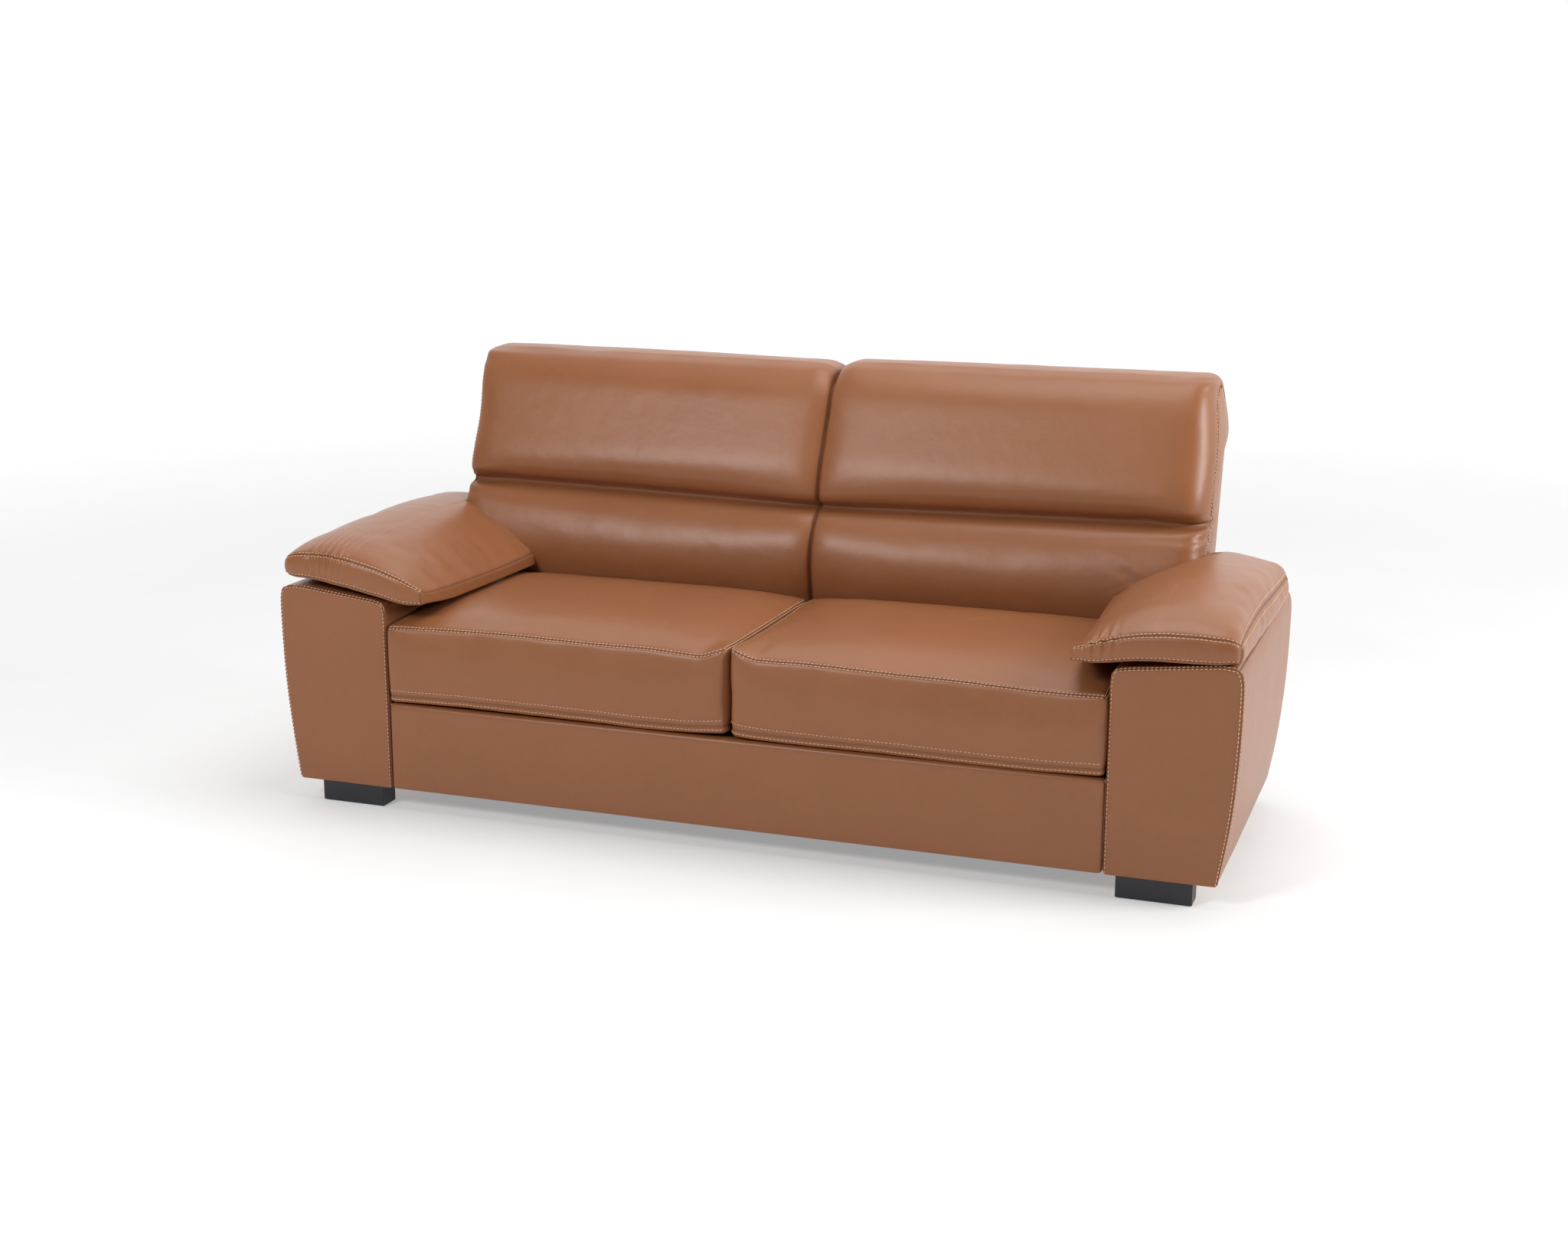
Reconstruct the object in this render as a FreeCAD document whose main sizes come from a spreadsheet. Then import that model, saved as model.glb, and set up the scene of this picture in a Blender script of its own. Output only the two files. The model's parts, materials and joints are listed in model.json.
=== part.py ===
import FreeCAD, Part
import math
import os

import Sketcher

# A two-seat upholstered sofa with block feet. Millimetres. +X is to the right as seen from the front,
# the front faces -Y, +Z is up, and the origin is on the floor under the middle of the sofa.
# "left" and "right" are as seen from the front.

SIZES = {
    # the whole sofa
    "sofa_width": 2030,
    "sofa_depth": 854,
    "sofa_height": 930,
    "cushion_reach": 8,  # the cushions stand this far ahead of the arms' fronts
    "back_overhang": 134,  # the back's outer face leans this far past the arms' rears
    # boards, rails and covers
    "cover": 3,  # imitation leather with its wadding
    "board": 18,  # arm front and rear panels, arm bottoms
    "ply": 12,  # arm inner boards and arm tops
    "hardboard": 3,  # the bent outer skins of the arms
    "rail": 22,  # solid wood rails of the base
    "post": 28,  # solid wood posts and rails of the back
    "joint_gap": 1,  # between an arm and the base it is bolted to
    # base and feet
    "foot_height": 49,
    "foot_width": 148,
    "foot_depth": 51,
    "foot_inset": 25,  # from the arm's inner face
    "foot_setback": 6,  # from the arm's front and rear faces
    "foot_edge": 1.5,
    "glide": 2,
    "glide_inset": 4,
    "rail_height": 187,
    "front_foam": 5,
    "centre_rail_drop": 40,  # keeps the centre rail below the springs
    "centre_rail_height": 100,
    "corner_block": 80,
    "dust_cloth": 1,
    # seat springs
    "spring_wire": 3.6,
    "spring_width": 48,
    "spring_drop": 9,  # from the rails' top edge to the wire's middle
    "clip_length": 24,
    "clip_depth": 8,
    "clip_height": 10,
    "thread_gap": 0.1,
    # seat cushions
    "seat_thickness": 190,
    "seat_round": 22,
    "cushion_gap": 5,
    "centre_gap": 2,
    # arms
    "arm_width": 244,
    "arm_rise": 51,  # the arm's top edge above the seat
    "arm_top_fall": 27,  # the arm's top slopes down towards the seat
    "arm_flare": 27,  # the arm's bottom is this much narrower than its top
    "arm_shoulder": 72,  # from the top edge down to where the flare begins
    "arm_outer_round": 28,
    "arm_inner_round": 18,
    # arm pads
    "pad_gap": 2,
    "pad_overhang": 100,  # past the arm's inner face
    "pad_tip": 34,  # the pad's thickness at its inner tip
    "pad_side": 46,  # the height of the pad's outer side
    "pad_front_crown": 54,
    "pad_crown": 104,
    "pad_rise": 150,  # how far behind the front the pad reaches its full crown
    "pad_rear_gap": 72,  # the pad stops this far ahead of the arm's rear
    # back
    "back_over_arm": 78,  # the back reaches this far over each arm
    "back_side": 8,  # the frame is this much narrower than the cushions on each side
    "back_depth": 80,
    "back_clearance": 5,
    "lean_start": 300,
    "head_height": 160,  # the head cushion above the frame's top
    "head_flap": 3,
    "head_round": 38,
    "head_centre_round": 16,
    "upper_pad": 308,  # from the top down to the seam across the cushion
    "lower_thickness": 112,
    "lumbar_low": 152,
    "lumbar_high": 62,
    "lumbar_thickness": 158,
    "lumbar_crown": 168,
    "waist_thickness": 150,
    "upper_crown": 147,
    "upper_crown_height": 195,
    "head_thickness": 131,
    "webbing": 2,
    "webbing_width": 60,
    "webbing_pitch": 88,
    # M8 fasteners
    "bolt_radius": 4,
    "bolt_gap": 0.25,
    "bolt_head_radius": 6.5,
    "bolt_head": 5,
    "washer_radius": 11,
    "washer": 2,
    "barrel_radius": 5,
    "barrel_length": 10,
    "flange_radius": 10,
    "flange": 1.5,
    "foot_bolt_depth": 34,
    "arm_bolt_height": 91,  # above the base's bottom
    "arm_bolt_end": 130,  # from the arm's front and rear faces to the end bolts
}
SPRINGS_PER_SEAT = 5
SPRING_BENDS = 22
WIRE_SIDES = 8
ARM_BOLTS = 3
BACK_BOLT_HEIGHTS = (50, 140)
STRAPS = 5
AXIS_OF_PLANE = {"YZ_Plane": "x", "XZ_Plane": "y", "XY_Plane": "z"}

# places that many pieces share, as expressions on the sheet
FRONT = "(Sizes.cushion_reach - Sizes.sofa_depth / 2)"
ARM_REAR = "(Sizes.sofa_depth / 2 - Sizes.back_overhang)"
ARM_OUT = "(Sizes.sofa_width / 2)"
ARM_IN = f"({ARM_OUT} - Sizes.arm_width)"
BASE_HALF = f"({ARM_IN} - Sizes.joint_gap)"
BOTTOM = "Sizes.foot_height"
RAIL_BOTTOM = f"({BOTTOM} + Sizes.cover)"
DECK_TOP = f"({BOTTOM} + Sizes.rail_height)"
RAIL_TOP = f"({DECK_TOP} - Sizes.cover)"
RAIL_FRONT = f"({FRONT} + Sizes.cover + Sizes.front_foam)"
RAIL_FRONT_INSIDE = f"({RAIL_FRONT} + Sizes.rail)"
RAIL_REAR = f"({ARM_REAR} - Sizes.cover)"
RAIL_REAR_INSIDE = f"({RAIL_REAR} - Sizes.rail)"
SEAT_BOTTOM = f"({DECK_TOP} + Sizes.cushion_gap)"
SEAT_TOP = f"({SEAT_BOTTOM} + Sizes.seat_thickness)"
ARM_TOP = f"({SEAT_TOP} + Sizes.arm_rise)"
ARM_TOP_INNER = f"({ARM_TOP} - Sizes.arm_top_fall)"
SHOULDER = f"({ARM_TOP} - Sizes.arm_shoulder)"
FLARE_RADIUS = f"((Sizes.arm_flare ^ 2 + ({SHOULDER} - {BOTTOM}) ^ 2) / (2 * Sizes.arm_flare))"
WING_BOTTOM = f"({ARM_TOP} + Sizes.cushion_gap)"
PANEL_TOP = "(Sizes.sofa_height - Sizes.head_height)"
BACK_HALF = f"({ARM_IN} + Sizes.back_over_arm)"
FRAME_HALF = f"({BACK_HALF} - Sizes.back_side)"
POST_TOP = f"({PANEL_TOP} - Sizes.cover - Sizes.post)"
UPRIGHT_OUT = f"({BASE_HALF} - Sizes.rail)"
UPRIGHT_IN = f"({UPRIGHT_OUT} - Sizes.post)"
WAIST = "(Sizes.sofa_height - Sizes.upper_pad)"

document = FreeCAD.newDocument("sofa")
sheet = document.addObject("Spreadsheet::Sheet", "Sizes")
for row, (alias, value) in enumerate(SIZES.items(), start=1):
    sheet.set(f"A{row}", alias)
    sheet.set(f"B{row}", str(value))
    sheet.setAlias(f"B{row}", alias)
document.recompute()
subparts = []


def number(expression):
    """The value that an expression on the sheet has now."""
    return float(sheet.evalExpression(str(expression)))


def keep(piece):
    """Mark a finished piece as a sub-part that gets its own file."""
    subparts.append(piece)
    return piece


# ---- small makers -------------------------------------------------------------------------------


def place(piece, x="0", y="0", z="0"):
    """Tie a piece's position to the sheet."""
    for axis, expression in zip("xyz", (x, y, z)):
        if expression != "0":
            piece.setExpression(f"Placement.Base.{axis}", expression)
    return piece


def block(name, low, high):
    """A straight board between two corners, given as expressions."""
    piece = document.addObject("Part::Box", name)
    for side, start, end in zip(("Length", "Width", "Height"), low, high):
        piece.setExpression(side, f"({end}) - ({start})")
    return place(piece, *low)


def rod(name, radius, length, base, axis):
    """A round bar from base along +x, +y or +z."""
    piece = document.addObject("Part::Cylinder", name)
    piece.setExpression("Radius", radius)
    piece.setExpression("Height", length)
    turns = {"x": (0, 1, 0, 90), "y": (1, 0, 0, -90), "z": (0, 0, 1, 0)}
    x, y, z, angle = turns[axis]
    piece.Placement = FreeCAD.Placement(FreeCAD.Vector(), FreeCAD.Rotation(FreeCAD.Vector(x, y, z), angle))
    return place(piece, *base)


def cut(name, base, tools):
    """The base with every tool taken out of it."""
    tool = tools[0] if len(tools) == 1 else group(f"{name}_tools", tools)
    piece = document.addObject("Part::Cut", name)
    piece.Base = base
    piece.Tool = tool
    return piece


def common(name, first, second):
    """What two solids share."""
    piece = document.addObject("Part::Common", name)
    piece.Base = first
    piece.Tool = second
    return piece


def group(name, pieces):
    """Several separate solids in one node."""
    piece = document.addObject("Part::Compound", name)
    piece.Links = pieces
    return piece


def mirrored(piece, name):
    """The left-hand twin of a right-hand piece."""
    twin = document.addObject("Part::Mirroring", name)
    twin.Source = piece
    twin.Base = FreeCAD.Vector(0, 0, 0)
    twin.Normal = FreeCAD.Vector(1, 0, 0)
    return twin


def keep_pair(right_piece, stem):
    """Keep a right-hand piece and its left-hand twin."""
    right_piece.Label = f"{stem}_right"
    keep(right_piece)
    return keep(mirrored(right_piece, f"{stem}_left"))


def arc_between(start, end, radius):
    """An arc from start to end that bulges to the right of its way for a positive radius."""
    chord = end - start
    middle = (start + end) * 0.5
    left = FreeCAD.Vector(-chord.y, chord.x, 0).normalize()
    rise = math.sqrt(radius * radius - chord.Length * chord.Length / 4)
    centre = middle + left * math.copysign(rise, radius)
    circle = Part.Circle(centre, FreeCAD.Vector(0, 0, 1), abs(radius))
    first, last = (start, end) if radius > 0 else (end, start)
    angles = [math.atan2(p.y - centre.y, p.x - centre.x) for p in (first, last)]
    return Part.ArcOfCircle(circle, *angles)


def draw_outline(body, plane, corners, arcs=None, offset=None):
    """A closed outline on one of the body's origin planes, each corner tied to the sheet."""
    arcs = arcs or {}
    sketch = body.newObject("Sketcher::SketchObject", f"{body.Name}_outline")
    support = next(item for item in body.Origin.OriginFeatures if item.Role == plane)
    sketch.AttachmentSupport = [(support, "")]
    sketch.MapMode = "FlatFace"
    if offset:
        sketch.setExpression("AttachmentOffset.Base.z", offset)
    points = [FreeCAD.Vector(number(across), number(up), 0) for across, up in corners]
    starts, ends = [], []
    for index, point in enumerate(points):
        following = points[(index + 1) % len(points)]
        if index in arcs:
            radius = number(arcs[index])
            sketch.addGeometry(arc_between(point, following, radius), False)
            starts.append(1 if radius > 0 else 2)
            ends.append(2 if radius > 0 else 1)
        else:
            sketch.addGeometry(Part.LineSegment(point, following), False)
            starts.append(1)
            ends.append(2)
    for index, (across, up) in enumerate(corners):
        after = (index + 1) % len(corners)
        sketch.addConstraint(Sketcher.Constraint("Coincident", index, ends[index], after, starts[after]))
        for kind, expression, value in (
            ("DistanceX", across, points[index].x),
            ("DistanceY", up, points[index].y),
        ):
            tie = sketch.addConstraint(Sketcher.Constraint(kind, -1, 1, index, starts[index], value))
            sketch.setExpression(f"Constraints[{tie}]", str(expression))
    for index, expression in arcs.items():
        tie = sketch.addConstraint(Sketcher.Constraint("Radius", index, abs(number(expression))))
        sketch.setExpression(f"Constraints[{tie}]", f"abs({expression})")
    return sketch


def profile(name, plane, corners, length, start="0", arcs=None, rounds=()):
    """An outline pushed along its plane's axis; rounds are (corner number, radius) along that axis."""
    body = document.addObject("PartDesign::Body", name)
    sketch = draw_outline(body, plane, corners, arcs)
    pad = body.newObject("PartDesign::Pad", f"{name}_pad")
    pad.Profile = sketch
    pad.Reversed = plane == "XZ_Plane"
    pad.setExpression("Length", length)
    base = pad
    for corner, radius in rounds:
        document.recompute()
        fillet = body.newObject("PartDesign::Fillet", f"{name}_round")
        fillet.Base = (base, edges_at(base.Shape, plane, corners[corner]))
        fillet.setExpression("Radius", radius)
        base = fillet
    place(body, **{AXIS_OF_PLANE[plane]: start})
    return body


def edges_at(shape, plane, corner):
    """The names of the edges that run along the plane's axis through one corner of the outline."""
    across, up = (number(expression) for expression in corner)
    spot = {"YZ_Plane": (None, across, up), "XZ_Plane": (across, None, up), "XY_Plane": (across, up, None)}[plane]
    names = []
    for index, edge in enumerate(shape.Edges, start=1):
        ends = [vertex.Point for vertex in edge.Vertexes]
        if all(abs(end[k] - spot[k]) < 0.01 for end in ends for k in range(3) if spot[k] is not None):
            names.append(f"Edge{index}")
    return names


def rounded_block(name, low, high, radius):
    """A block with every edge rounded."""
    corners = [(low[0], low[1]), (high[0], low[1]), (high[0], high[1]), (low[0], high[1])]
    body = profile(name, "XY_Plane", corners, f"({high[2]}) - ({low[2]})", low[2])
    document.recompute()
    pad = body.Tip
    fillet = body.newObject("PartDesign::Fillet", f"{name}_round")
    fillet.Base = (pad, [f"Edge{index + 1}" for index in range(len(pad.Shape.Edges))])
    fillet.setExpression("Radius", radius)
    return body


def leaning(height, inset="0"):
    """The y of the back's outer face at a height above lean_start, moved forward by an inset."""
    run = f"Sizes.back_overhang / ({PANEL_TOP} - Sizes.lean_start)"
    return f"({ARM_REAR} + ({height} - Sizes.lean_start) * {run} - ({inset}))"


def frame_front(height, ahead="0"):
    """The y of the back frame's front plane at a height above lean_start."""
    return leaning(height, f"Sizes.cover + Sizes.back_depth + {ahead}")


# ---- base ---------------------------------------------------------------------------------------


def make_base():
    """The box between the arms: rails, centre rail, corner blocks, deck and front covering."""
    rear_of_cover = RAIL_FRONT_INSIDE
    channel = [
        (FRONT, BOTTOM),
        (rear_of_cover, BOTTOM),
        (rear_of_cover, RAIL_BOTTOM),
        (f"{FRONT} + Sizes.cover", RAIL_BOTTOM),
        (f"{FRONT} + Sizes.cover", RAIL_TOP),
        (rear_of_cover, RAIL_TOP),
        (rear_of_cover, DECK_TOP),
        (FRONT, DECK_TOP),
    ]
    keep(profile("front_rail_cover", "YZ_Plane", channel, f"2 * {BASE_HALF}", f"-{BASE_HALF}"))
    left, right = f"-{BASE_HALF}", BASE_HALF
    foam_front = f"({FRONT} + Sizes.cover)"
    keep(block("front_rail_foam", (left, foam_front, RAIL_BOTTOM), (right, RAIL_FRONT, RAIL_TOP)))
    keep(block("base_front_rail", (left, RAIL_FRONT, RAIL_BOTTOM), (right, RAIL_FRONT_INSIDE, RAIL_TOP)))
    keep(block("base_rear_rail", (left, RAIL_REAR_INSIDE, RAIL_BOTTOM), (right, RAIL_REAR, RAIL_TOP)))
    centre_top = f"({RAIL_TOP} - Sizes.centre_rail_drop)"
    centre_bottom = f"({centre_top} - Sizes.centre_rail_height)"
    half_rail = "(Sizes.rail / 2)"
    keep(
        block(
            "base_centre_rail",
            (f"-{half_rail}", RAIL_FRONT_INSIDE, centre_bottom),
            (half_rail, RAIL_REAR_INSIDE, centre_top),
        )
    )
    side_rail = block(
        "base_side_rail_blank",
        (UPRIGHT_OUT, RAIL_FRONT_INSIDE, RAIL_BOTTOM),
        (BASE_HALF, RAIL_REAR_INSIDE, RAIL_TOP),
    )
    holes = arm_bolt_holes("side_rail_hole", UPRIGHT_OUT, "Sizes.rail", "Sizes.bolt_radius + Sizes.bolt_gap")
    holes += back_bolt_holes("side_rail_back_hole")
    keep_pair(cut("base_side_rail_right", side_rail, holes), "base_side_rail")
    blocks = []
    corner_block = make_corner_block("corner_block_right")
    keep(group("base_corner_blocks", [corner_block, mirrored(corner_block, "corner_block_left")]))
    deck_front = RAIL_FRONT_INSIDE
    deck = block("seat_deck_blank", (left, deck_front, RAIL_TOP), (right, RAIL_REAR_INSIDE, DECK_TOP))
    slot = block(
        "seat_deck_slot_right",
        (UPRIGHT_IN, f"({RAIL_REAR} - Sizes.back_depth)", RAIL_BOTTOM),
        (UPRIGHT_OUT, ARM_REAR, ARM_TOP),
    )
    keep(cut("seat_deck", deck, [slot, mirrored(slot, "seat_deck_slot_left")]))
    cloth_bottom = f"({RAIL_BOTTOM} - Sizes.dust_cloth)"
    keep(block("dust_cover", (left, deck_front, cloth_bottom), (right, RAIL_REAR, RAIL_BOTTOM)))


def make_corner_block(name):
    """A triangular glue block where the front rail meets a side rail."""
    corners = [
        (UPRIGHT_OUT, RAIL_FRONT_INSIDE),
        (UPRIGHT_OUT, f"{RAIL_FRONT_INSIDE} + Sizes.corner_block"),
        (f"{UPRIGHT_OUT} - Sizes.corner_block", RAIL_FRONT_INSIDE),
    ]
    height = "Sizes.rail_height - 2 * Sizes.cover - 2 * Sizes.clip_height"
    return profile(name, "XY_Plane", corners, height, RAIL_BOTTOM)


# ---- fasteners ----------------------------------------------------------------------------------


def arm_bolt_places():
    """The (y, z) of the bolts that hold an arm to the base."""
    first = f"({FRONT} + Sizes.arm_bolt_end)"
    last = f"({ARM_REAR} - Sizes.cover - Sizes.back_depth - Sizes.arm_bolt_end)"
    height = f"({RAIL_BOTTOM} + Sizes.arm_bolt_height)"
    spots = []
    for index in range(ARM_BOLTS):
        share = index / (ARM_BOLTS - 1)
        spots.append((f"({first} + ({last} - {first}) * {share})", height))
    return spots


def arm_bolt_holes(name, start, length, radius):
    """Round cutters along x where the arm bolts go."""
    return [
        rod(f"{name}_{index}", radius, length, (start, y, z), "x")
        for index, (y, z) in enumerate(arm_bolt_places())
    ]


def back_bolt_places():
    """The (y, z) of the bolts that hold a back upright to the side rail."""
    middle = f"(({RAIL_REAR_INSIDE} + {RAIL_REAR} - Sizes.back_depth) / 2)"
    return [(middle, f"({RAIL_BOTTOM} + {height})") for height in BACK_BOLT_HEIGHTS]


def back_bolt_holes(name):
    """Round cutters along x where the back bolts go, ending inside the side rail."""
    length = "(Sizes.post + Sizes.rail - Sizes.cover)"
    return [
        rod(f"{name}_{index}", "Sizes.bolt_radius + Sizes.bolt_gap", length, (UPRIGHT_IN, y, z), "x")
        for index, (y, z) in enumerate(back_bolt_places())
    ]


def turned(name, steps, base, axis, bore=None):
    """A turned piece along x or z: (radius, start, length) steps, with an optional bore through it."""
    pieces = []
    for index, (radius, start, length) in enumerate(steps):
        shift = [f"({coordinate}) + {start}" if key == axis else coordinate for key, coordinate in zip("xyz", base)]
        pieces.append(rod(f"{name}_step_{index}", radius, length, shift, axis))
    solid = pieces[0]
    if len(pieces) > 1:
        solid = document.addObject("Part::MultiFuse", f"{name}_solid")
        solid.Shapes = pieces
    if bore:
        low = steps[0][1]
        total = " + ".join(length for _, _, length in steps)
        shift = [f"({coordinate}) + {low}" if key == axis else coordinate for key, coordinate in zip("xyz", base)]
        solid = cut(name, solid, [rod(f"{name}_bore", bore, total, shift, axis)])
    return solid


def make_fasteners():
    """Bolts, washers and tee nuts, each kind as one node."""
    bolts, washers, nuts, back_bolts = [], [], [], []
    head_start = f"({UPRIGHT_OUT} - Sizes.washer - Sizes.bolt_head)"
    reach = "(Sizes.washer + Sizes.rail + Sizes.joint_gap + Sizes.cover + Sizes.ply + Sizes.flange)"
    for index, (y, z) in enumerate(arm_bolt_places()):
        steps = [
            ("Sizes.bolt_head_radius", "0", "Sizes.bolt_head"),
            ("Sizes.bolt_radius", "Sizes.bolt_head", reach),
        ]
        bolts.append(turned(f"arm_bolt_{index}", steps, (head_start, y, z), "x"))
        ring = [("Sizes.washer_radius", "0", "Sizes.washer")]
        seat = f"({UPRIGHT_OUT} - Sizes.washer)"
        hole = "Sizes.bolt_radius + Sizes.bolt_gap"
        washers.append(turned(f"arm_washer_{index}", ring, (seat, y, z), "x", hole))
        face = f"({ARM_IN} + Sizes.cover + Sizes.ply)"
        barrel = [
            ("Sizes.barrel_radius", "-Sizes.barrel_length", "Sizes.barrel_length"),
            ("Sizes.flange_radius", "0", "Sizes.flange"),
        ]
        thread = "Sizes.bolt_radius + Sizes.thread_gap"
        nuts.append(turned(f"arm_nut_{index}", barrel, (face, y, z), "x", thread))
    for index, (y, z) in enumerate(back_bolt_places()):
        shank = "(Sizes.bolt_head + Sizes.post + Sizes.rail - 2 * Sizes.cover)"
        steps = [
            ("Sizes.bolt_head_radius", "-Sizes.bolt_head", "Sizes.bolt_head"),
            ("Sizes.bolt_radius", "-Sizes.bolt_head", shank),
        ]
        back_bolts.append(turned(f"back_bolt_{index}", steps, (UPRIGHT_IN, y, z), "x"))
    foot_bolts = []
    for end, (x, y) in enumerate(foot_bolt_places()):
        length = "Sizes.foot_bolt_depth + Sizes.board + Sizes.flange"
        foot_bolts.append(rod(f"foot_bolt_{end}", "Sizes.bolt_radius", length, (x, y, foot_bolt_low()), "z"))
        top = f"({BOTTOM} + Sizes.board)"
        barrel = [
            ("Sizes.barrel_radius", "-Sizes.barrel_length", "Sizes.barrel_length"),
            ("Sizes.flange_radius", "0", "Sizes.flange"),
        ]
        nuts.append(turned(f"foot_nut_{end}", barrel, (x, y, top), "z", "Sizes.bolt_radius + Sizes.thread_gap"))
    for name, pieces in (
        ("arm_bolts", bolts),
        ("arm_bolt_washers", washers),
        ("tee_nuts", nuts),
        ("back_bolts", back_bolts),
        ("foot_bolts", foot_bolts),
    ):
        right = group(f"{name}_right_side", pieces)
        keep(group(name, [right, mirrored(right, f"{name}_left_side")]))


# ---- feet ---------------------------------------------------------------------------------------


def foot_places():
    """The (name, low y) of the front and rear foot."""
    front = f"({FRONT} + Sizes.foot_setback)"
    rear = f"({ARM_REAR} - Sizes.foot_setback - Sizes.foot_depth)"
    return [("front", front), ("rear", rear)]


def foot_bolt_places():
    """The (x, y) of the bolt above the middle of each right-hand foot."""
    x = f"({ARM_IN} + Sizes.foot_inset + Sizes.foot_width / 2)"
    return [(x, f"({y} + Sizes.foot_depth / 2)") for _, y in foot_places()]


def foot_bolt_low():
    """The height of a foot bolt's lower end."""
    return f"({BOTTOM} - Sizes.foot_bolt_depth)"


def make_feet():
    """Black lacquered wooden blocks with a felt glide under each."""
    glides = []
    left = f"({ARM_IN} + Sizes.foot_inset)"
    right = f"({left} + Sizes.foot_width)"
    for (end, y), (bolt_x, bolt_y) in zip(foot_places(), foot_bolt_places()):
        back = f"({y} + Sizes.foot_depth)"
        corners = [(left, y), (right, y), (right, back), (left, back)]
        body = profile(f"foot_{end}_blank", "XY_Plane", corners, "Sizes.foot_height - Sizes.glide", "Sizes.glide")
        document.recompute()
        pad = body.Tip
        chamfer = body.newObject("PartDesign::Chamfer", f"foot_{end}_edge")
        chamfer.Base = (pad, upright_edges(pad.Shape))
        chamfer.setExpression("Size", "Sizes.foot_edge")
        hole = rod(
            f"foot_{end}_hole",
            "Sizes.bolt_radius + Sizes.bolt_gap",
            "Sizes.foot_bolt_depth + 1",
            (bolt_x, bolt_y, f"({foot_bolt_low()})"),
            "z",
        )
        keep_pair(cut(f"foot_{end}_right", body, [hole]), f"foot_{end}")
        glides.append(
            block(
                f"glide_{end}",
                (f"{left} + Sizes.glide_inset", f"{y} + Sizes.glide_inset", "0"),
                (f"{right} - Sizes.glide_inset", f"{back} - Sizes.glide_inset", "Sizes.glide"),
            )
        )
    pair = group("glides_right_side", glides)
    keep(group("foot_glides", [pair, mirrored(pair, "glides_left_side")]))


def upright_edges(shape):
    """The names of a block's four vertical edges."""
    names = []
    for index, edge in enumerate(shape.Edges, start=1):
        first, last = (vertex.Point for vertex in edge.Vertexes)
        if abs(first.x - last.x) < 0.01 and abs(first.y - last.y) < 0.01:
            names.append(f"Edge{index}")
    return names


# ---- springs ------------------------------------------------------------------------------------


def spring_middles():
    """The x of each seat spring, the same number under each seat."""
    half = number(UPRIGHT_OUT)
    pitch = half / SPRINGS_PER_SEAT
    return [side * pitch * (index + 0.5) for side in (-1, 1) for index in range(SPRINGS_PER_SEAT)]


def spring_ends():
    """The y of a spring's first and last run, held in the clips on the rails' inner faces."""
    half_clip = number("Sizes.clip_depth / 2")
    return number(RAIL_FRONT_INSIDE) + half_clip, number(RAIL_REAR_INSIDE) - half_clip


def make_springs():
    """Flat zigzag springs from the front rail to the rear rail, and the clips that hold their ends."""
    start, end = spring_ends()
    height = number(f"{RAIL_TOP} - Sizes.spring_drop")
    turn = (end - start) / SPRING_BENDS / 2
    reach = number("Sizes.spring_width / 2") - turn
    edges = []
    for run in range(SPRING_BENDS + 1):
        y = start + 2 * turn * run
        side = 1 if run % 2 == 0 else -1
        near = FreeCAD.Vector(-side * reach, y, height)
        far = FreeCAD.Vector(side * reach, y, height)
        edges.append(Part.LineSegment(near, far).toShape())
        if run < SPRING_BENDS:
            outermost = FreeCAD.Vector(side * (reach + turn), y + turn, height)
            across = FreeCAD.Vector(side * reach, y + 2 * turn, height)
            edges.append(Part.Arc(far, outermost, across).toShape())
    path = Part.Wire(edges)
    middle_point = edges[0].firstVertex().Point
    rim = []
    for step in range(WIRE_SIDES + 1):
        angle = 2 * math.pi * step / WIRE_SIDES
        rim.append(middle_point + FreeCAD.Vector(0, math.cos(angle), math.sin(angle)) * number("Sizes.spring_wire / 2"))
    wire = path.makePipe(Part.Face(Part.makePolygon(rim)))
    springs = document.addObject("Part::Feature", "seat_springs")
    springs.Shape = Part.makeCompound([wire.translated(FreeCAD.Vector(x, 0, 0)) for x in spring_middles()])
    keep(springs)
    clips = []
    bore = "Sizes.spring_wire / 2 + Sizes.thread_gap"
    middle = f"({RAIL_TOP} - Sizes.spring_drop)"
    for end_name, low in (("front", RAIL_FRONT_INSIDE), ("rear", f"({RAIL_REAR_INSIDE} - Sizes.clip_depth)")):
        for index in range(SPRINGS_PER_SEAT):
            x = f"({UPRIGHT_OUT} / {SPRINGS_PER_SEAT} * {index + 0.5} - Sizes.clip_length / 2)"
            name = f"clip_{end_name}_{index}"
            shell = block(
                f"{name}_blank",
                (x, low, f"{middle} - Sizes.clip_height / 2"),
                (f"{x} + Sizes.clip_length", f"{low} + Sizes.clip_depth", f"{middle} + Sizes.clip_height / 2"),
            )
            hole = rod(f"{name}_bore", bore, "Sizes.clip_length", (x, f"{low} + Sizes.clip_depth / 2", middle), "x")
            clips.append(cut(name, shell, [hole]))
    right = group("spring_clips_right_side", clips)
    keep(group("spring_clips", [right, mirrored(right, "spring_clips_left_side")]))


# ---- seat cushions ------------------------------------------------------------------------------


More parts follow.
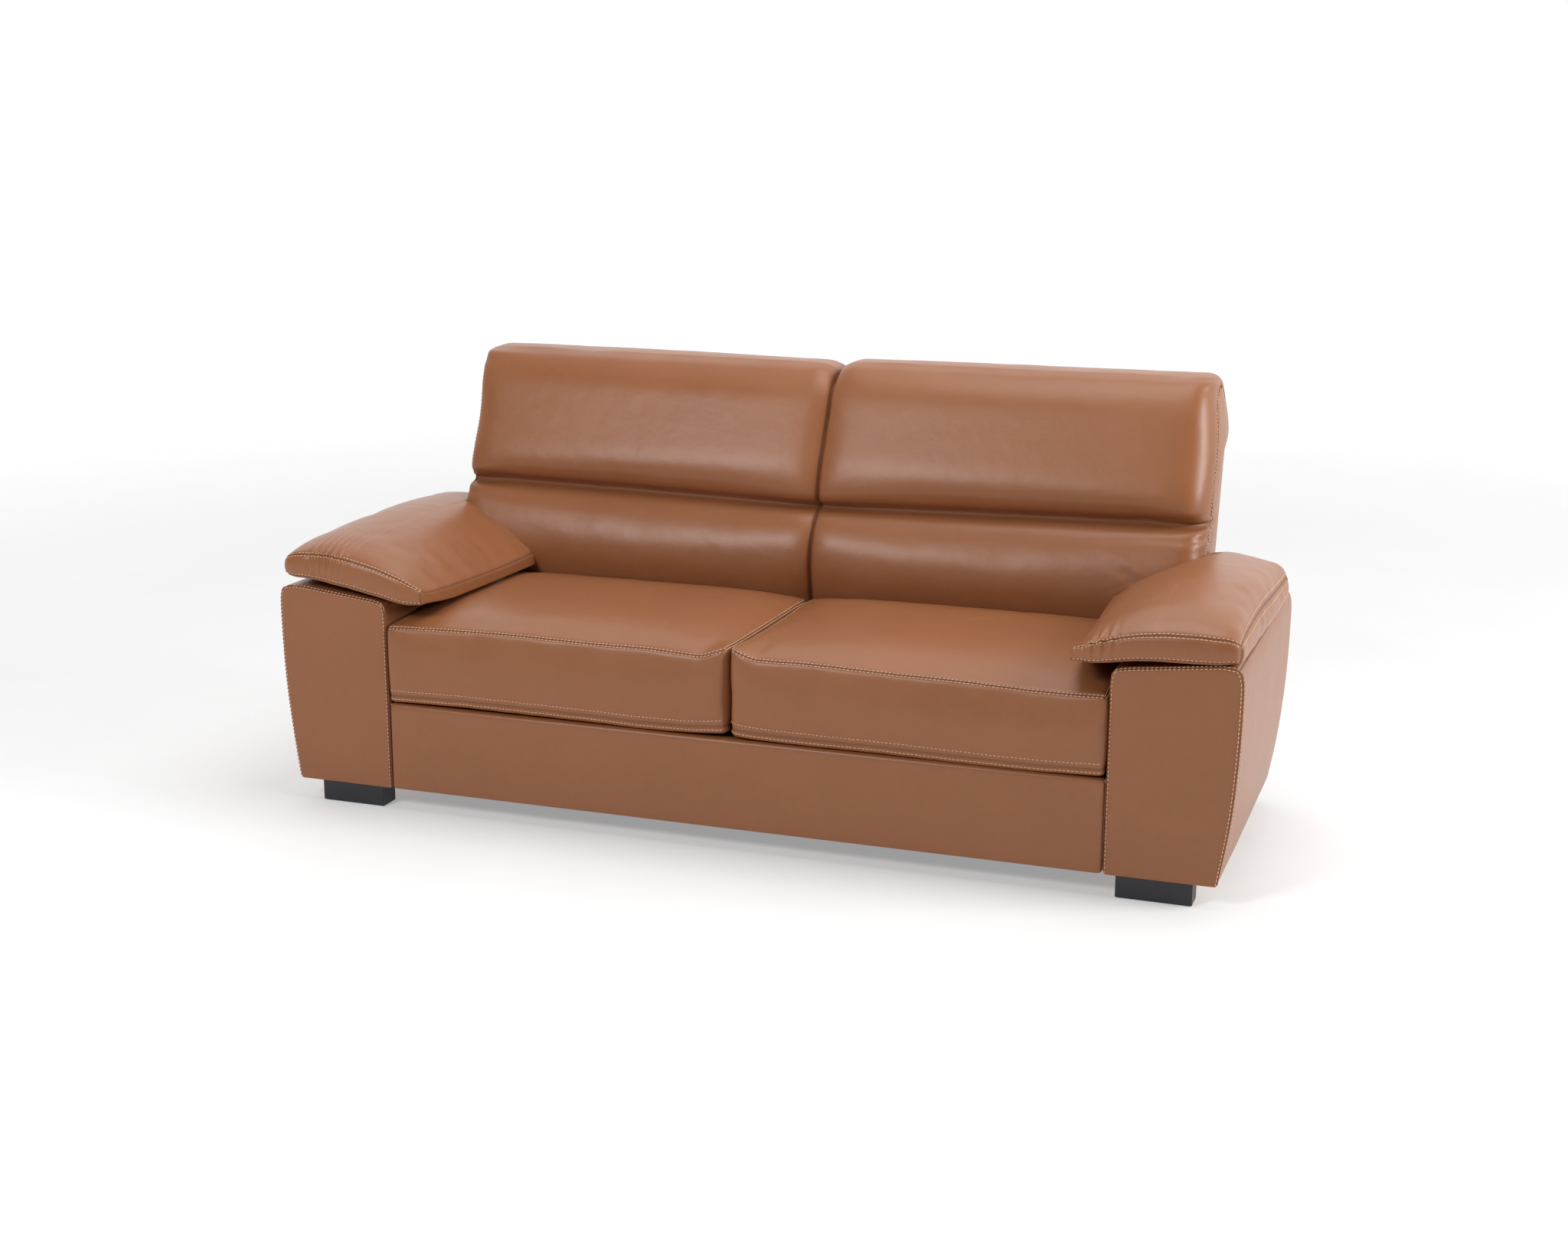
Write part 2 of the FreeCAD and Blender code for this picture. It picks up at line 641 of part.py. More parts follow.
def make_seat():
    """Two loose cushions: a foam block in a sewn cover each."""
    rear = frame_front("Sizes.lean_start", "Sizes.back_clearance + Sizes.lower_thickness + Sizes.cushion_gap")
    low = ("Sizes.centre_gap / 2", "-Sizes.sofa_depth / 2", SEAT_BOTTOM)
    high = (f"{BASE_HALF} - Sizes.joint_gap", rear, SEAT_TOP)
    outer = rounded_block("seat_outer", low, high, "Sizes.seat_round")
    inside_low = [f"({value}) + Sizes.cover" for value in low]
    inside_high = [f"({value}) - Sizes.cover" for value in high]
    inner_radius = "Sizes.seat_round - Sizes.cover"
    inner = rounded_block("seat_inner", inside_low, inside_high, inner_radius)
    keep_pair(cut("seat_cover_right", outer, [inner]), "seat_cover")
    keep_pair(rounded_block("seat_foam_right", inside_low, inside_high, inner_radius), "seat_foam")


# ---- arms ---------------------------------------------------------------------------------------


def arm_outline(inset="0"):
    """The right arm seen from the front: upright inside, flared outside, its top falling inwards."""
    bottom_out = f"{ARM_OUT} - Sizes.arm_flare - {inset}"
    return [
        (f"{ARM_IN} + {inset}", BOTTOM),
        (bottom_out, BOTTOM),
        (f"{ARM_OUT} - {inset}", SHOULDER),
        (f"{ARM_OUT} - {inset}", f"{ARM_TOP} - {inset}"),
        (f"{ARM_IN} + {inset}", f"{ARM_TOP_INNER} - {inset}"),
    ]


def arm_solid(name, start, length, inset="0"):
    """A length of the arm's section."""
    rounds = (
        (3, f"Sizes.arm_outer_round - {inset}"),
        (4, f"Sizes.arm_inner_round - {inset}"),
    )
    return profile(name, "XZ_Plane", arm_outline(inset), length, start, {1: FLARE_RADIUS}, rounds)


def make_arms():
    """Each arm: two shaped panels, inner board, bottom board, top board, bent outer skin and cover."""
    length = f"{ARM_REAR} - {FRONT}"
    inside = f"({FRONT} + Sizes.cover)"
    outer = arm_solid("arm_outer", FRONT, length)
    core = arm_solid("arm_core", inside, f"{length} - 2 * Sizes.cover", "Sizes.cover")
    hole_radius = "Sizes.barrel_radius + Sizes.bolt_gap"
    cover_holes = arm_bolt_holes("arm_cover_hole", ARM_IN, "Sizes.cover", hole_radius)
    keep_pair(cut("arm_cover_right", outer, [core] + cover_holes), "arm_cover")
    keep_pair(arm_solid("arm_front_panel_right", inside, "Sizes.board", "Sizes.cover"), "arm_front_panel")
    rear_start = f"({ARM_REAR} - Sizes.cover - Sizes.board)"
    keep_pair(arm_solid("arm_rear_panel_right", rear_start, "Sizes.board", "Sizes.cover"), "arm_rear_panel")
    start = f"({inside} + Sizes.board)"
    board_in = f"({ARM_IN} + Sizes.cover)"
    board_out = f"({board_in} + Sizes.ply)"
    inner_top = f"({ARM_TOP_INNER} - Sizes.cover - Sizes.arm_inner_round)"
    blank = block("arm_inner_board_blank", (board_in, start, BOTTOM), (board_out, rear_start, inner_top))
    holes = arm_bolt_holes("arm_board_hole", board_in, "Sizes.ply", hole_radius)
    keep_pair(cut("arm_inner_board_right", blank, holes), "arm_inner_board")
    skin_out = f"({ARM_OUT} - Sizes.cover)"
    skin_in = f"({skin_out} - Sizes.hardboard)"
    skin_top = f"({ARM_TOP} - Sizes.cover - Sizes.arm_outer_round)"
    skin = [
        (f"{skin_out} - Sizes.arm_flare", BOTTOM),
        (skin_out, SHOULDER),
        (skin_out, skin_top),
        (skin_in, skin_top),
        (skin_in, SHOULDER),
        (f"{skin_in} - Sizes.arm_flare", BOTTOM),
    ]
    span = f"{rear_start} - {start}"
    bends = {0: FLARE_RADIUS, 4: f"-{FLARE_RADIUS}"}
    keep_pair(profile("arm_outer_skin_right", "XZ_Plane", skin, span, start, bends), "arm_outer_skin")
    bottom_out = f"({skin_in} - Sizes.arm_flare)"
    floor_top = f"({BOTTOM} + Sizes.board)"
    floor_blank = block("arm_bottom_board_blank", (board_out, start, BOTTOM), (bottom_out, rear_start, floor_top))
    foot_holes = [
        rod(f"arm_bottom_hole_{index}", hole_radius, "Sizes.board", (x, y, BOTTOM), "z")
        for index, (x, y) in enumerate(foot_bolt_places())
    ]
    keep_pair(cut("arm_bottom_board_right", floor_blank, foot_holes), "arm_bottom_board")
    slope = f"(Sizes.arm_top_fall / Sizes.arm_width)"
    left_x, right_x = board_out, f"({skin_in} - Sizes.arm_outer_round)"
    rise_left = f"({ARM_TOP_INNER} - Sizes.cover - 1 + ({left_x} - {ARM_IN}) * {slope})"
    rise_right = f"({ARM_TOP_INNER} - Sizes.cover - 1 + ({right_x} - {ARM_IN}) * {slope})"
    top = [
        (left_x, f"{rise_left} - Sizes.ply"),
        (right_x, f"{rise_right} - Sizes.ply"),
        (right_x, rise_right),
        (left_x, rise_left),
    ]
    keep_pair(profile("arm_top_board_right", "XZ_Plane", top, span, start), "arm_top_board")


def pad_section(crown, inset):
    """The right arm pad seen from the front: thick over the arm, drooping to a tip over the seat."""
    slope = "(Sizes.arm_top_fall / Sizes.arm_width)"
    tip = f"({ARM_IN} - Sizes.pad_overhang)"
    base = f"({ARM_TOP_INNER} + Sizes.pad_gap)"
    outer_base = f"({base} + Sizes.arm_width * {slope})"
    crown_top = f"({outer_base} + {crown})"
    width = "(Sizes.arm_width + Sizes.pad_overhang)"
    return [
        (f"{tip} + 0.04 * {width} + {inset}", f"{base} - 6 + {inset}"),
        (f"{ARM_IN} + {inset}", f"{base} + {inset}"),
        (f"{ARM_OUT} - {inset}", f"{outer_base} + {inset}"),
        (f"{ARM_OUT} - {inset}", f"{outer_base} + Sizes.pad_side - {inset}"),
        (f"{ARM_OUT} - 0.27 * {width}", f"{crown_top} - {inset}"),
        (f"{ARM_OUT} - 0.55 * {width}", f"{crown_top} - 0.1 * {crown} - {inset}"),
        (f"{ARM_OUT} - 0.80 * {width}", f"{base} + 0.5 * {crown} + 0.5 * Sizes.pad_tip - {inset}"),
        (f"{tip} + {inset}", f"{base} + Sizes.pad_tip - 8 - {inset}"),
    ]


def pad_solid(name, inset):
    """A loft through the pad's sections, notched where the back stands."""
    body = document.addObject("PartDesign::Body", f"{name}_loft")
    front = f"(-Sizes.sofa_depth / 2 + {inset})"
    full = f"({FRONT} + Sizes.pad_rise)"
    rear = f"({ARM_REAR} - Sizes.pad_rear_gap - {inset})"
    stations = ((front, "Sizes.pad_front_crown"), (full, "Sizes.pad_crown"), (rear, "Sizes.pad_crown"))
    sketches = [
        draw_outline(body, "XZ_Plane", pad_section(crown, inset), offset=f"-{y}") for y, crown in stations
    ]
    loft = body.newObject("PartDesign::AdditiveLoft", f"{name}_skin")
    loft.Profile = sketches[0]
    loft.Sections = sketches[1:]
    loft.Ruled = True
    notch_front = frame_front(
        "Sizes.lean_start", f"Sizes.back_clearance + Sizes.lumbar_crown - 48 + Sizes.cushion_gap + {inset}"
    )
    notch = block(
        f"{name}_notch",
        ("0", notch_front, "0"),
        (f"{BACK_HALF} + Sizes.cushion_gap + {inset}", "Sizes.sofa_depth", "Sizes.sofa_height"),
    )
    return cut(name, body, [notch])


def make_arm_pads():
    """The pillow on each arm: foam in a sewn cover."""
    outer = pad_solid("arm_pad_outer", "0")
    inner = pad_solid("arm_pad_inner", "Sizes.cover")
    keep_pair(cut("arm_pad_cover_right", outer, [inner]), "arm_pad_cover")
    keep_pair(pad_solid("arm_pad_foam_right", "Sizes.cover"), "arm_pad_foam")


# ---- back ---------------------------------------------------------------------------------------


def leaning_board(name, low, high, half_start, width):
    """A board of the back frame as deep as the frame, from one height to another."""
    corners = [
        (frame_front(low), low),
        (leaning(low, "Sizes.cover"), low),
        (leaning(high, "Sizes.cover"), high),
        (frame_front(high), high),
    ]
    return profile(name, "YZ_Plane", corners, width, half_start)


def make_back_frame():
    """Uprights, posts over the arms, rails, webbing and the outer covering of the back."""
    front = f"({RAIL_REAR} - Sizes.back_depth)"
    upright = [
        (front, RAIL_BOTTOM),
        (RAIL_REAR_INSIDE, RAIL_BOTTOM),
        (RAIL_REAR_INSIDE, DECK_TOP),
        (RAIL_REAR, DECK_TOP),
        (RAIL_REAR, "Sizes.lean_start"),
        (leaning(POST_TOP, "Sizes.cover"), POST_TOP),
        (frame_front(POST_TOP), POST_TOP),
        (front, "Sizes.lean_start"),
    ]
    blank = profile("back_upright_blank", "YZ_Plane", upright, "Sizes.post", UPRIGHT_IN)
    keep_pair(cut("back_upright_right", blank, back_bolt_holes("upright_hole")), "back_upright")
    half_post = "(Sizes.post / 2)"
    rail_low = f"({DECK_TOP} + Sizes.cushion_gap)"
    lower_rail = block(
        "back_lower_rail",
        (f"-{UPRIGHT_IN}", front, rail_low),
        (UPRIGHT_IN, RAIL_REAR, f"{rail_low} + Sizes.post"),
    )
    keep(lower_rail)
    centre_low = f"({rail_low} + Sizes.post)"
    centre = [
        (front, centre_low),
        (RAIL_REAR, centre_low),
        (RAIL_REAR, "Sizes.lean_start"),
        (leaning(POST_TOP, "Sizes.cover"), POST_TOP),
        (frame_front(POST_TOP), POST_TOP),
        (front, "Sizes.lean_start"),
    ]
    keep(profile("back_centre_upright", "YZ_Plane", centre, "Sizes.post", f"-{half_post}"))
    top = f"({PANEL_TOP} - Sizes.cover)"
    inside_half = f"({FRAME_HALF} - Sizes.cover)"
    keep(leaning_board("back_top_rail", POST_TOP, top, f"-{inside_half}", f"2 * {inside_half}"))
    wing_low = f"({WING_BOTTOM} + Sizes.cover)"
    wing_high = f"({wing_low} + Sizes.post)"
    keep_pair(
        leaning_board("back_wing_rail_right", wing_low, wing_high, UPRIGHT_OUT, f"{inside_half} - {UPRIGHT_OUT}"),
        "back_wing_rail",
    )
    keep_pair(
        leaning_board(
            "back_wing_post_right", wing_high, POST_TOP, f"({inside_half} - Sizes.post)", "Sizes.post"
        ),
        "back_wing_post",
    )
    keep(group("back_webbing", [make_strap(index) for index in range(STRAPS)]))
    make_outer_cover()


def make_strap(index):
    """One elastic strap across the front of the back frame."""
    low = f"({POST_TOP} - Sizes.webbing_width - {index} * Sizes.webbing_pitch)"
    high = f"({low} + Sizes.webbing_width)"
    above_arms = number(low) > number(f"{WING_BOTTOM} + Sizes.cover + Sizes.post")
    half = f"({FRAME_HALF} - Sizes.cover)" if above_arms else UPRIGHT_OUT
    corners = [
        (frame_front(low, "Sizes.webbing"), low),
        (frame_front(low), low),
        (frame_front(high), high),
        (frame_front(high, "Sizes.webbing"), high),
    ]
    return profile(f"strap_{index}", "YZ_Plane", corners, f"2 * {half}", f"-{half}")


def back_envelope(name, inset, side_inset, front_extra, bottom, wing_bottom):
    """The back frame's outer form: narrow between the arms, wide above them."""
    front = f"({RAIL_REAR} - Sizes.back_depth - {front_extra})"
    top = f"({PANEL_TOP} - {inset})"
    side = [
        (front, bottom),
        (f"{ARM_REAR} - {inset}", bottom),
        (f"{ARM_REAR} - {inset}", "Sizes.lean_start"),
        (leaning(top, inset), top),
        (frame_front(top, front_extra), top),
        (front, "Sizes.lean_start"),
    ]
    wide = f"({FRAME_HALF} - {inset})"
    narrow = f"({BASE_HALF} + {side_inset})"
    seen = [
        (f"-{narrow}", bottom),
        (narrow, bottom),
        (narrow, wing_bottom),
        (wide, wing_bottom),
        (wide, top),
        (f"-{wide}", top),
        (f"-{wide}", wing_bottom),
        (f"-{narrow}", wing_bottom),
    ]
    slab = profile(f"{name}_slab", "YZ_Plane", side, f"2 * {FRAME_HALF}", f"-{FRAME_HALF}")
    face = profile(f"{name}_face", "XZ_Plane", seen, "Sizes.sofa_depth", "-Sizes.sofa_depth / 2")
    return common(name, slab, face)


def make_outer_cover():
    """The covering behind, beside and on top of the frame, open to the front and below."""
    outer = back_envelope("back_outer_form", "0", "0", "0", BOTTOM, WING_BOTTOM)
    room = f"({WING_BOTTOM} + Sizes.cover)"
    inner = back_envelope("back_inner_form", "Sizes.cover", "1", "1", f"({BOTTOM} - 1)", room)
    keep(cut("back_outer_cover", outer, [inner]))


def back_cushion_side(inset):
    """A back cushion from the side: lumbar roll, seam, upper pad, and the head that laps over the frame."""

    def ahead(height, thickness):
        return frame_front(height, f"Sizes.back_clearance + {thickness}")

    low = f"({SEAT_BOTTOM} + {inset})"
    straight = "Sizes.lean_start"
    step = f"({PANEL_TOP} + Sizes.cushion_gap + {inset})"
    flap = f"({leaning(PANEL_TOP)} - Sizes.head_flap)"
    top = "Sizes.sofa_height"
    roll_low = f"({WAIST} - Sizes.lumbar_low)"
    roll_high = f"({WAIST} - Sizes.lumbar_high)"
    crown = f"({top} - Sizes.upper_crown_height)"
    head = f"({top} - 30)"
    front_low = frame_front(straight, "Sizes.back_clearance + Sizes.lower_thickness")
    return [
        (f"{front_low} + {inset}", low),
        (f"{ahead(straight, '0')} - {inset}", low),
        (f"{ahead(straight, '0')} - {inset}", straight),
        (f"{ahead(step, '0')} - {inset}", step),
        (f"{flap} - {inset}", step),
        (f"{flap} - {inset}", f"{step} + 20"),
        (f"{flap} - 8 - {inset}", f"{top} - 65"),
        (f"{flap} - 45", f"{top} - 5 - {inset}"),
        (f"{flap} - 140", f"{top} - {inset}"),
        (f"{ahead(head, 'Sizes.head_thickness')} + {inset}", head),
        (f"{ahead(crown, 'Sizes.upper_crown')} + {inset}", crown),
        (f"{ahead(WAIST, 'Sizes.waist_thickness')} + {inset}", WAIST),
        (f"{ahead(roll_high, 'Sizes.lumbar_crown')} + {inset}", roll_high),
        (f"{ahead(roll_low, 'Sizes.lumbar_thickness')} + {inset}", roll_low),
    ]


def back_cushion_solid(name, inset):
    """The side form cut to the cushion's outline from the front."""
    low = f"({SEAT_BOTTOM} + {inset})"
    wing = f"({WING_BOTTOM} + {inset})"
    top = f"(Sizes.sofa_height - {inset})"
    near = f"(Sizes.centre_gap / 2 + {inset})"
    narrow = f"({BASE_HALF} - {inset})"
    wide = f"({BACK_HALF} - {inset})"
    seen = [(near, low), (narrow, low), (narrow, wing), (wide, wing), (wide, top), (near, top)]
    rounds = ((4, f"Sizes.head_round - {inset}"), (5, f"Sizes.head_centre_round - {inset}"))
    side = profile(f"{name}_side", "YZ_Plane", back_cushion_side(inset), f"{BACK_HALF} + 1")
    face = profile(f"{name}_face", "XZ_Plane", seen, "Sizes.sofa_depth", "-Sizes.sofa_depth / 2", rounds=rounds)
    return common(name, side, face)


def make_back_cushions():
    """The two fixed back cushions: filling in a sewn cover each."""
    outer = back_cushion_solid("back_cushion_outer", "0")
    inner = back_cushion_solid("back_cushion_inner", "Sizes.cover")
    keep_pair(cut("back_cushion_cover_right", outer, [inner]), "back_cushion_cover")
    keep_pair(back_cushion_solid("back_cushion_foam_right", "Sizes.cover"), "back_cushion_foam")


def check_and_write():
    """Stop on any failed object or bad shape, then write one file for each sub-part."""
    document.recompute()
    for item in document.Objects:
        if "Invalid" in item.State or "Error" in item.State:
            raise RuntimeError(f"{item.Name} is {item.State}")
    for piece in subparts:
        if piece.Shape.isNull() or not piece.Shape.isValid() or not piece.Shape.Solids:
            raise RuntimeError(f"{piece.Label} has no valid solid")
    os.makedirs("parts", exist_ok=True)
    for piece in subparts:
        piece.Shape.exportStep(os.path.join("parts", f"{piece.Label}.step"))
    print(f"{len(subparts)} sub-parts written")


make_base()
make_fasteners()
make_feet()
make_springs()
make_seat()
make_arms()
make_arm_pads()
make_back_frame()
make_back_cushions()
check_and_write()
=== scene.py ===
# %% [markdown]
# # A two-seat sofa in tan leather cloth
# This lesson dresses a finished furniture frame in Blender. The frame already holds every board,
# spring, bolt and foot at its real size, so each cushion only has to be put where the frame says.
# Everything is in metres, with X to the right, Y to the back and Z up.

# %% Load the frame
import bpy
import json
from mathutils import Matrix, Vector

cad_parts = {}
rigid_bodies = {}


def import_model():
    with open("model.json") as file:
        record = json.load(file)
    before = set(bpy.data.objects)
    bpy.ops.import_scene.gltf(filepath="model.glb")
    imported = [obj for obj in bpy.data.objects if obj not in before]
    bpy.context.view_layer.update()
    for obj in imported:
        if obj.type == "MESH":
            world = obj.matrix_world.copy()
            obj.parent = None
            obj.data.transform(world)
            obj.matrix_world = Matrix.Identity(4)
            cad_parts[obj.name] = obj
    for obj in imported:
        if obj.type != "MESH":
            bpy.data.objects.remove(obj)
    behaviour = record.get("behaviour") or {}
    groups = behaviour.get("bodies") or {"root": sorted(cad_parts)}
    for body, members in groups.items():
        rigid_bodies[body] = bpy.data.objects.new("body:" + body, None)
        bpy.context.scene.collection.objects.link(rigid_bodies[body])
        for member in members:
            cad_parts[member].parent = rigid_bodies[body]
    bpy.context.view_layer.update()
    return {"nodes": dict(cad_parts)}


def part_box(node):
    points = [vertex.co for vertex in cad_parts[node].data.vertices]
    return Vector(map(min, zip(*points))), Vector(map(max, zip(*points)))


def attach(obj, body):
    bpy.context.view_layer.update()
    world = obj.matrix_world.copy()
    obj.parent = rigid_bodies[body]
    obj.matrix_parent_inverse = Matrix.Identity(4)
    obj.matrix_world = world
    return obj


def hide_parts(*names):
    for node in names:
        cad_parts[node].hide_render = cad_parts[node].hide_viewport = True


for leftover in list(bpy.data.objects):
    bpy.data.objects.remove(leftover)

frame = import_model()

# %% Tools used all through
import json
import math

import numpy as np
from mathutils import Vector, noise

SEED = 11
SIDES = (("left", -1), ("right", 1))
FRONT = -0.419


def ease(start, end, at):
    """0 before start, 1 after end, and a smooth step between."""
    t = np.clip((np.asarray(at) - start) / (end - start), 0, 1)
    return t * t * (3 - 2 * t)


def hump(centre, width, at):
    """1 at centre, and close to 0 from twice the width on."""
    return np.exp(-(((np.asarray(at) - centre) / width) ** 2))


def follow(points, at):
    """A smooth curve through (place, value) pairs, read at any places."""
    places, values = np.array(points, float).T
    slopes = np.gradient(values, places)
    at = np.clip(at, places[0], places[-1])
    i = np.clip(np.searchsorted(places, at) - 1, 0, len(places) - 2)
    run = places[i + 1] - places[i]
    t = (at - places[i]) / run
    rise = t * t * (3 - 2 * t)
    lean = t * (1 - t) ** 2 * slopes[i] - t * t * (1 - t) * slopes[i + 1]
    return values[i] * (1 - rise) + values[i + 1] * rise + run * lean


def ripple(points, size, seed=0):
    """Soft noise from -1 to 1 at each point, with bumps about size metres across."""
    shift = Vector((seed * 7.1, seed * 3.7, seed * 5.3))
    return np.array([noise.noise(Vector(p) / size + shift) for p in points])


print("a smooth curve through three points reads", follow([(0, 0), (1, 1), (2, 0)], [0.5, 1.0]))

# %% [markdown]
# ## The camera, the floor and the light
# A studio shot of a sofa is taken from a little above seat height and a little to one side, so that
# the front, one arm and the tops of the cushions all show. A 50 mm lens from under five metres keeps
# the straight lines calm. The floor is nearly white, and the air is brighter behind the sofa than in
# front of it, which puts a rim of light on the tops. Three large soft lamps give the leather its long
# gentle highlights. Small lamps would give hard hot spots instead.

# %% Camera
AIM = Vector((-0.0160, -0.0307, 0.3772))
AWAY = 4.7116
TURN = math.radians(19.59)
RAISE = math.radians(13.89)
ROLL = math.radians(0.16)

back = Vector((math.sin(TURN) * math.cos(RAISE), -math.cos(TURN) * math.cos(RAISE), math.sin(RAISE)))
level = Vector((math.cos(TURN), math.sin(TURN), 0))
upright = back.cross(level)
right = level * math.cos(ROLL) + upright * math.sin(ROLL)
up = upright * math.cos(ROLL) - level * math.sin(ROLL)
camera = bpy.data.objects.new("camera", bpy.data.cameras.new("camera"))
bpy.context.scene.collection.objects.link(camera)
camera.data.lens = 50
camera.data.sensor_width = 36
camera.data.clip_end = 200
camera.location = AIM + back * AWAY
turned = camera.matrix_world.to_3x3()
for row in range(3):
    turned[row] = (right[row], up[row], back[row])
camera.rotation_euler = turned.to_euler()
bpy.context.scene.camera = camera
print("the camera stands at", tuple(round(v, 3) for v in camera.location))

# %% Lamps and air
bpy.context.scene.view_settings.view_transform = "Standard"
world = bpy.data.worlds.new("studio_air")
world.use_nodes = True
air = world.node_tree.nodes
glow = air["Background"]
glow.inputs["Color"].default_value = (1, 1, 1, 1)
toward = air.new("ShaderNodeSeparateXYZ")
fade = air.new("ShaderNodeMapRange")
fade.interpolation_type = "SMOOTHSTEP"
AIR = {"From Min": -0.3, "From Max": 0.6, "To Min": 0.12, "To Max": 1.25}
for socket, value in AIR.items():
    fade.inputs[socket].default_value = value
world.node_tree.links.new(air.new("ShaderNodeTexCoord").outputs["Generated"], toward.inputs[0])
world.node_tree.links.new(toward.outputs["Y"], fade.inputs["Value"])
world.node_tree.links.new(fade.outputs[0], glow.inputs["Strength"])
paper = air.new("ShaderNodeBackground")
paper.inputs["Color"].default_value = (1, 1, 1, 1)
paper.inputs["Strength"].default_value = 1.0
either = air.new("ShaderNodeMixShader")
world.node_tree.links.new(air.new("ShaderNodeLightPath").outputs["Is Camera Ray"], either.inputs[0])
world.node_tree.links.new(glow.outputs[0], either.inputs[1])
world.node_tree.links.new(paper.outputs[0], either.inputs[2])
world.node_tree.links.new(either.outputs[0], air["World Output"].inputs[0])
bpy.context.scene.world = world


def lamp(name, place, aim, size, watts):
    """A square soft box that shines from place towards aim."""
    light = bpy.data.lights.new(name, "AREA")
    light.size = size
    light.energy = watts
    holder = bpy.data.objects.new(name, light)
    bpy.context.scene.collection.objects.link(holder)
    holder.location = place
    holder.rotation_euler = (Vector(aim) - Vector(place)).to_track_quat("-Z", "Y").to_euler()
    return holder


lamps = [
    lamp("top_softbox", (0.4, -0.1, 3.2), (0.0, -0.1, 0.4), 1.8, 36),
    lamp("front_left_softbox", (-2.0, -4.7, 3.7), (0.0, 0.0, 0.75), 1.4, 158),
    lamp("right_softbox", (4.0, 0.2, 2.2), (0.8, 0.0, 0.5), 1.2, 92),
]
print(len(lamps), "lamps")

# %% [markdown]
# ## Finishes
# Each finish is a small graph of nodes. Writing one out by hand takes many lines, so two small
# classes help: `Wire` is one output socket, and sums on wires add Math nodes. `Finish` owns the
# material and makes any other node. All patterns are read from the point's own place in metres, so
# a grain stays the same size on every piece and needs no unwrapping.

# %% Wires and finishes
class Wire:
    """One output socket of a finish. Adding or multiplying wires adds Math nodes."""

    def __init__(self, finish, socket):
        self.finish = finish
        self.socket = socket

    def maths(self, operation, first, second=0.0):
        return self.finish.node("ShaderNodeMath", {"operation": operation}, {0: first, 1: second})

    def __add__(self, other):
        return self.maths("ADD", self, other)

    def __radd__(self, other):
        return self.maths("ADD", other, self)

    def __sub__(self, other):
        return self.maths("SUBTRACT", self, other)

    def __rsub__(self, other):
        return self.maths("SUBTRACT", other, self)

    def __mul__(self, other):
        return self.maths("MULTIPLY", self, other)

    def __rmul__(self, other):
        return self.maths("MULTIPLY", other, self)

    def power(self, other):
        return self.maths("POWER", self, other)

    def sine(self):
        return self.maths("SINE", self)


class Finish:
    """A material with one Principled shader, and the node graph that feeds it."""

    def __init__(self, name):
        self.material = bpy.data.materials.new(name)
        self.material.use_nodes = True
        self.tree = self.material.node_tree
        self.shader = self.tree.nodes["Principled BSDF"]
        self.place = self.node("ShaderNodeTexCoord", out="Object")

    def node(self, kind, settings=None, inputs=None, out=0):
        made = self.tree.nodes.new(kind)
        for key, value in (settings or {}).items():
            setattr(made, key, value)
        for key, value in (inputs or {}).items():
            if isinstance(value, Wire):
                self.tree.links.new(value.socket, made.inputs[key])
            else:
                made.inputs[key].default_value = value
        return Wire(self, made.outputs[out])

    def noise(self, scale, detail=2.0, rough=0.5, where=None):
        inputs = {"Vector": where or self.place, "Scale": scale, "Detail": detail, "Roughness": rough}
        return self.node("ShaderNodeTexNoise", None, inputs, "Fac")

    def cells(self, scale, feature="F1", where=None):
        inputs = {"Vector": where or self.place, "Scale": scale}
        return self.node("ShaderNodeTexVoronoi", {"feature": feature}, inputs, "Distance")

    def axis(self, letter):
        return self.node("ShaderNodeSeparateXYZ", None, {"Vector": self.place}, letter)

    def stretched(self, x, y, z):
        """The point's place, scaled apart along each axis."""
        inputs = {0: self.place, 1: (x, y, z)}
        return self.node("ShaderNodeVectorMath", {"operation": "MULTIPLY"}, inputs)

    def painted(self, name):
        """A number that was painted on the mesh's points."""
        return self.node("ShaderNodeAttribute", {"attribute_name": name}, None, "Fac")

    def mix(self, share, first, second):
        inputs = {0: share, 6: first, 7: second}
        return self.node("ShaderNodeMix", {"data_type": "RGBA"}, inputs, 2)

    def bump(self, height, strength, depth, under=None):
        inputs = {"Height": height, "Strength": strength, "Distance": depth}
        if under:
            inputs["Normal"] = under
        return self.node("ShaderNodeBump", None, inputs)

    def wear(self, **sockets):
        """Feeds the shader: wires are linked, plain values are set."""
        for key, value in sockets.items():
            socket = self.shader.inputs[key.replace("_", " ")]
            if isinstance(value, Wire):
                self.tree.links.new(value.socket, socket)
            else:
                socket.default_value = value
        return self.material


def shade(red, green, blue):
    return (red, green, blue, 1)


print("finishes can be mixed now")
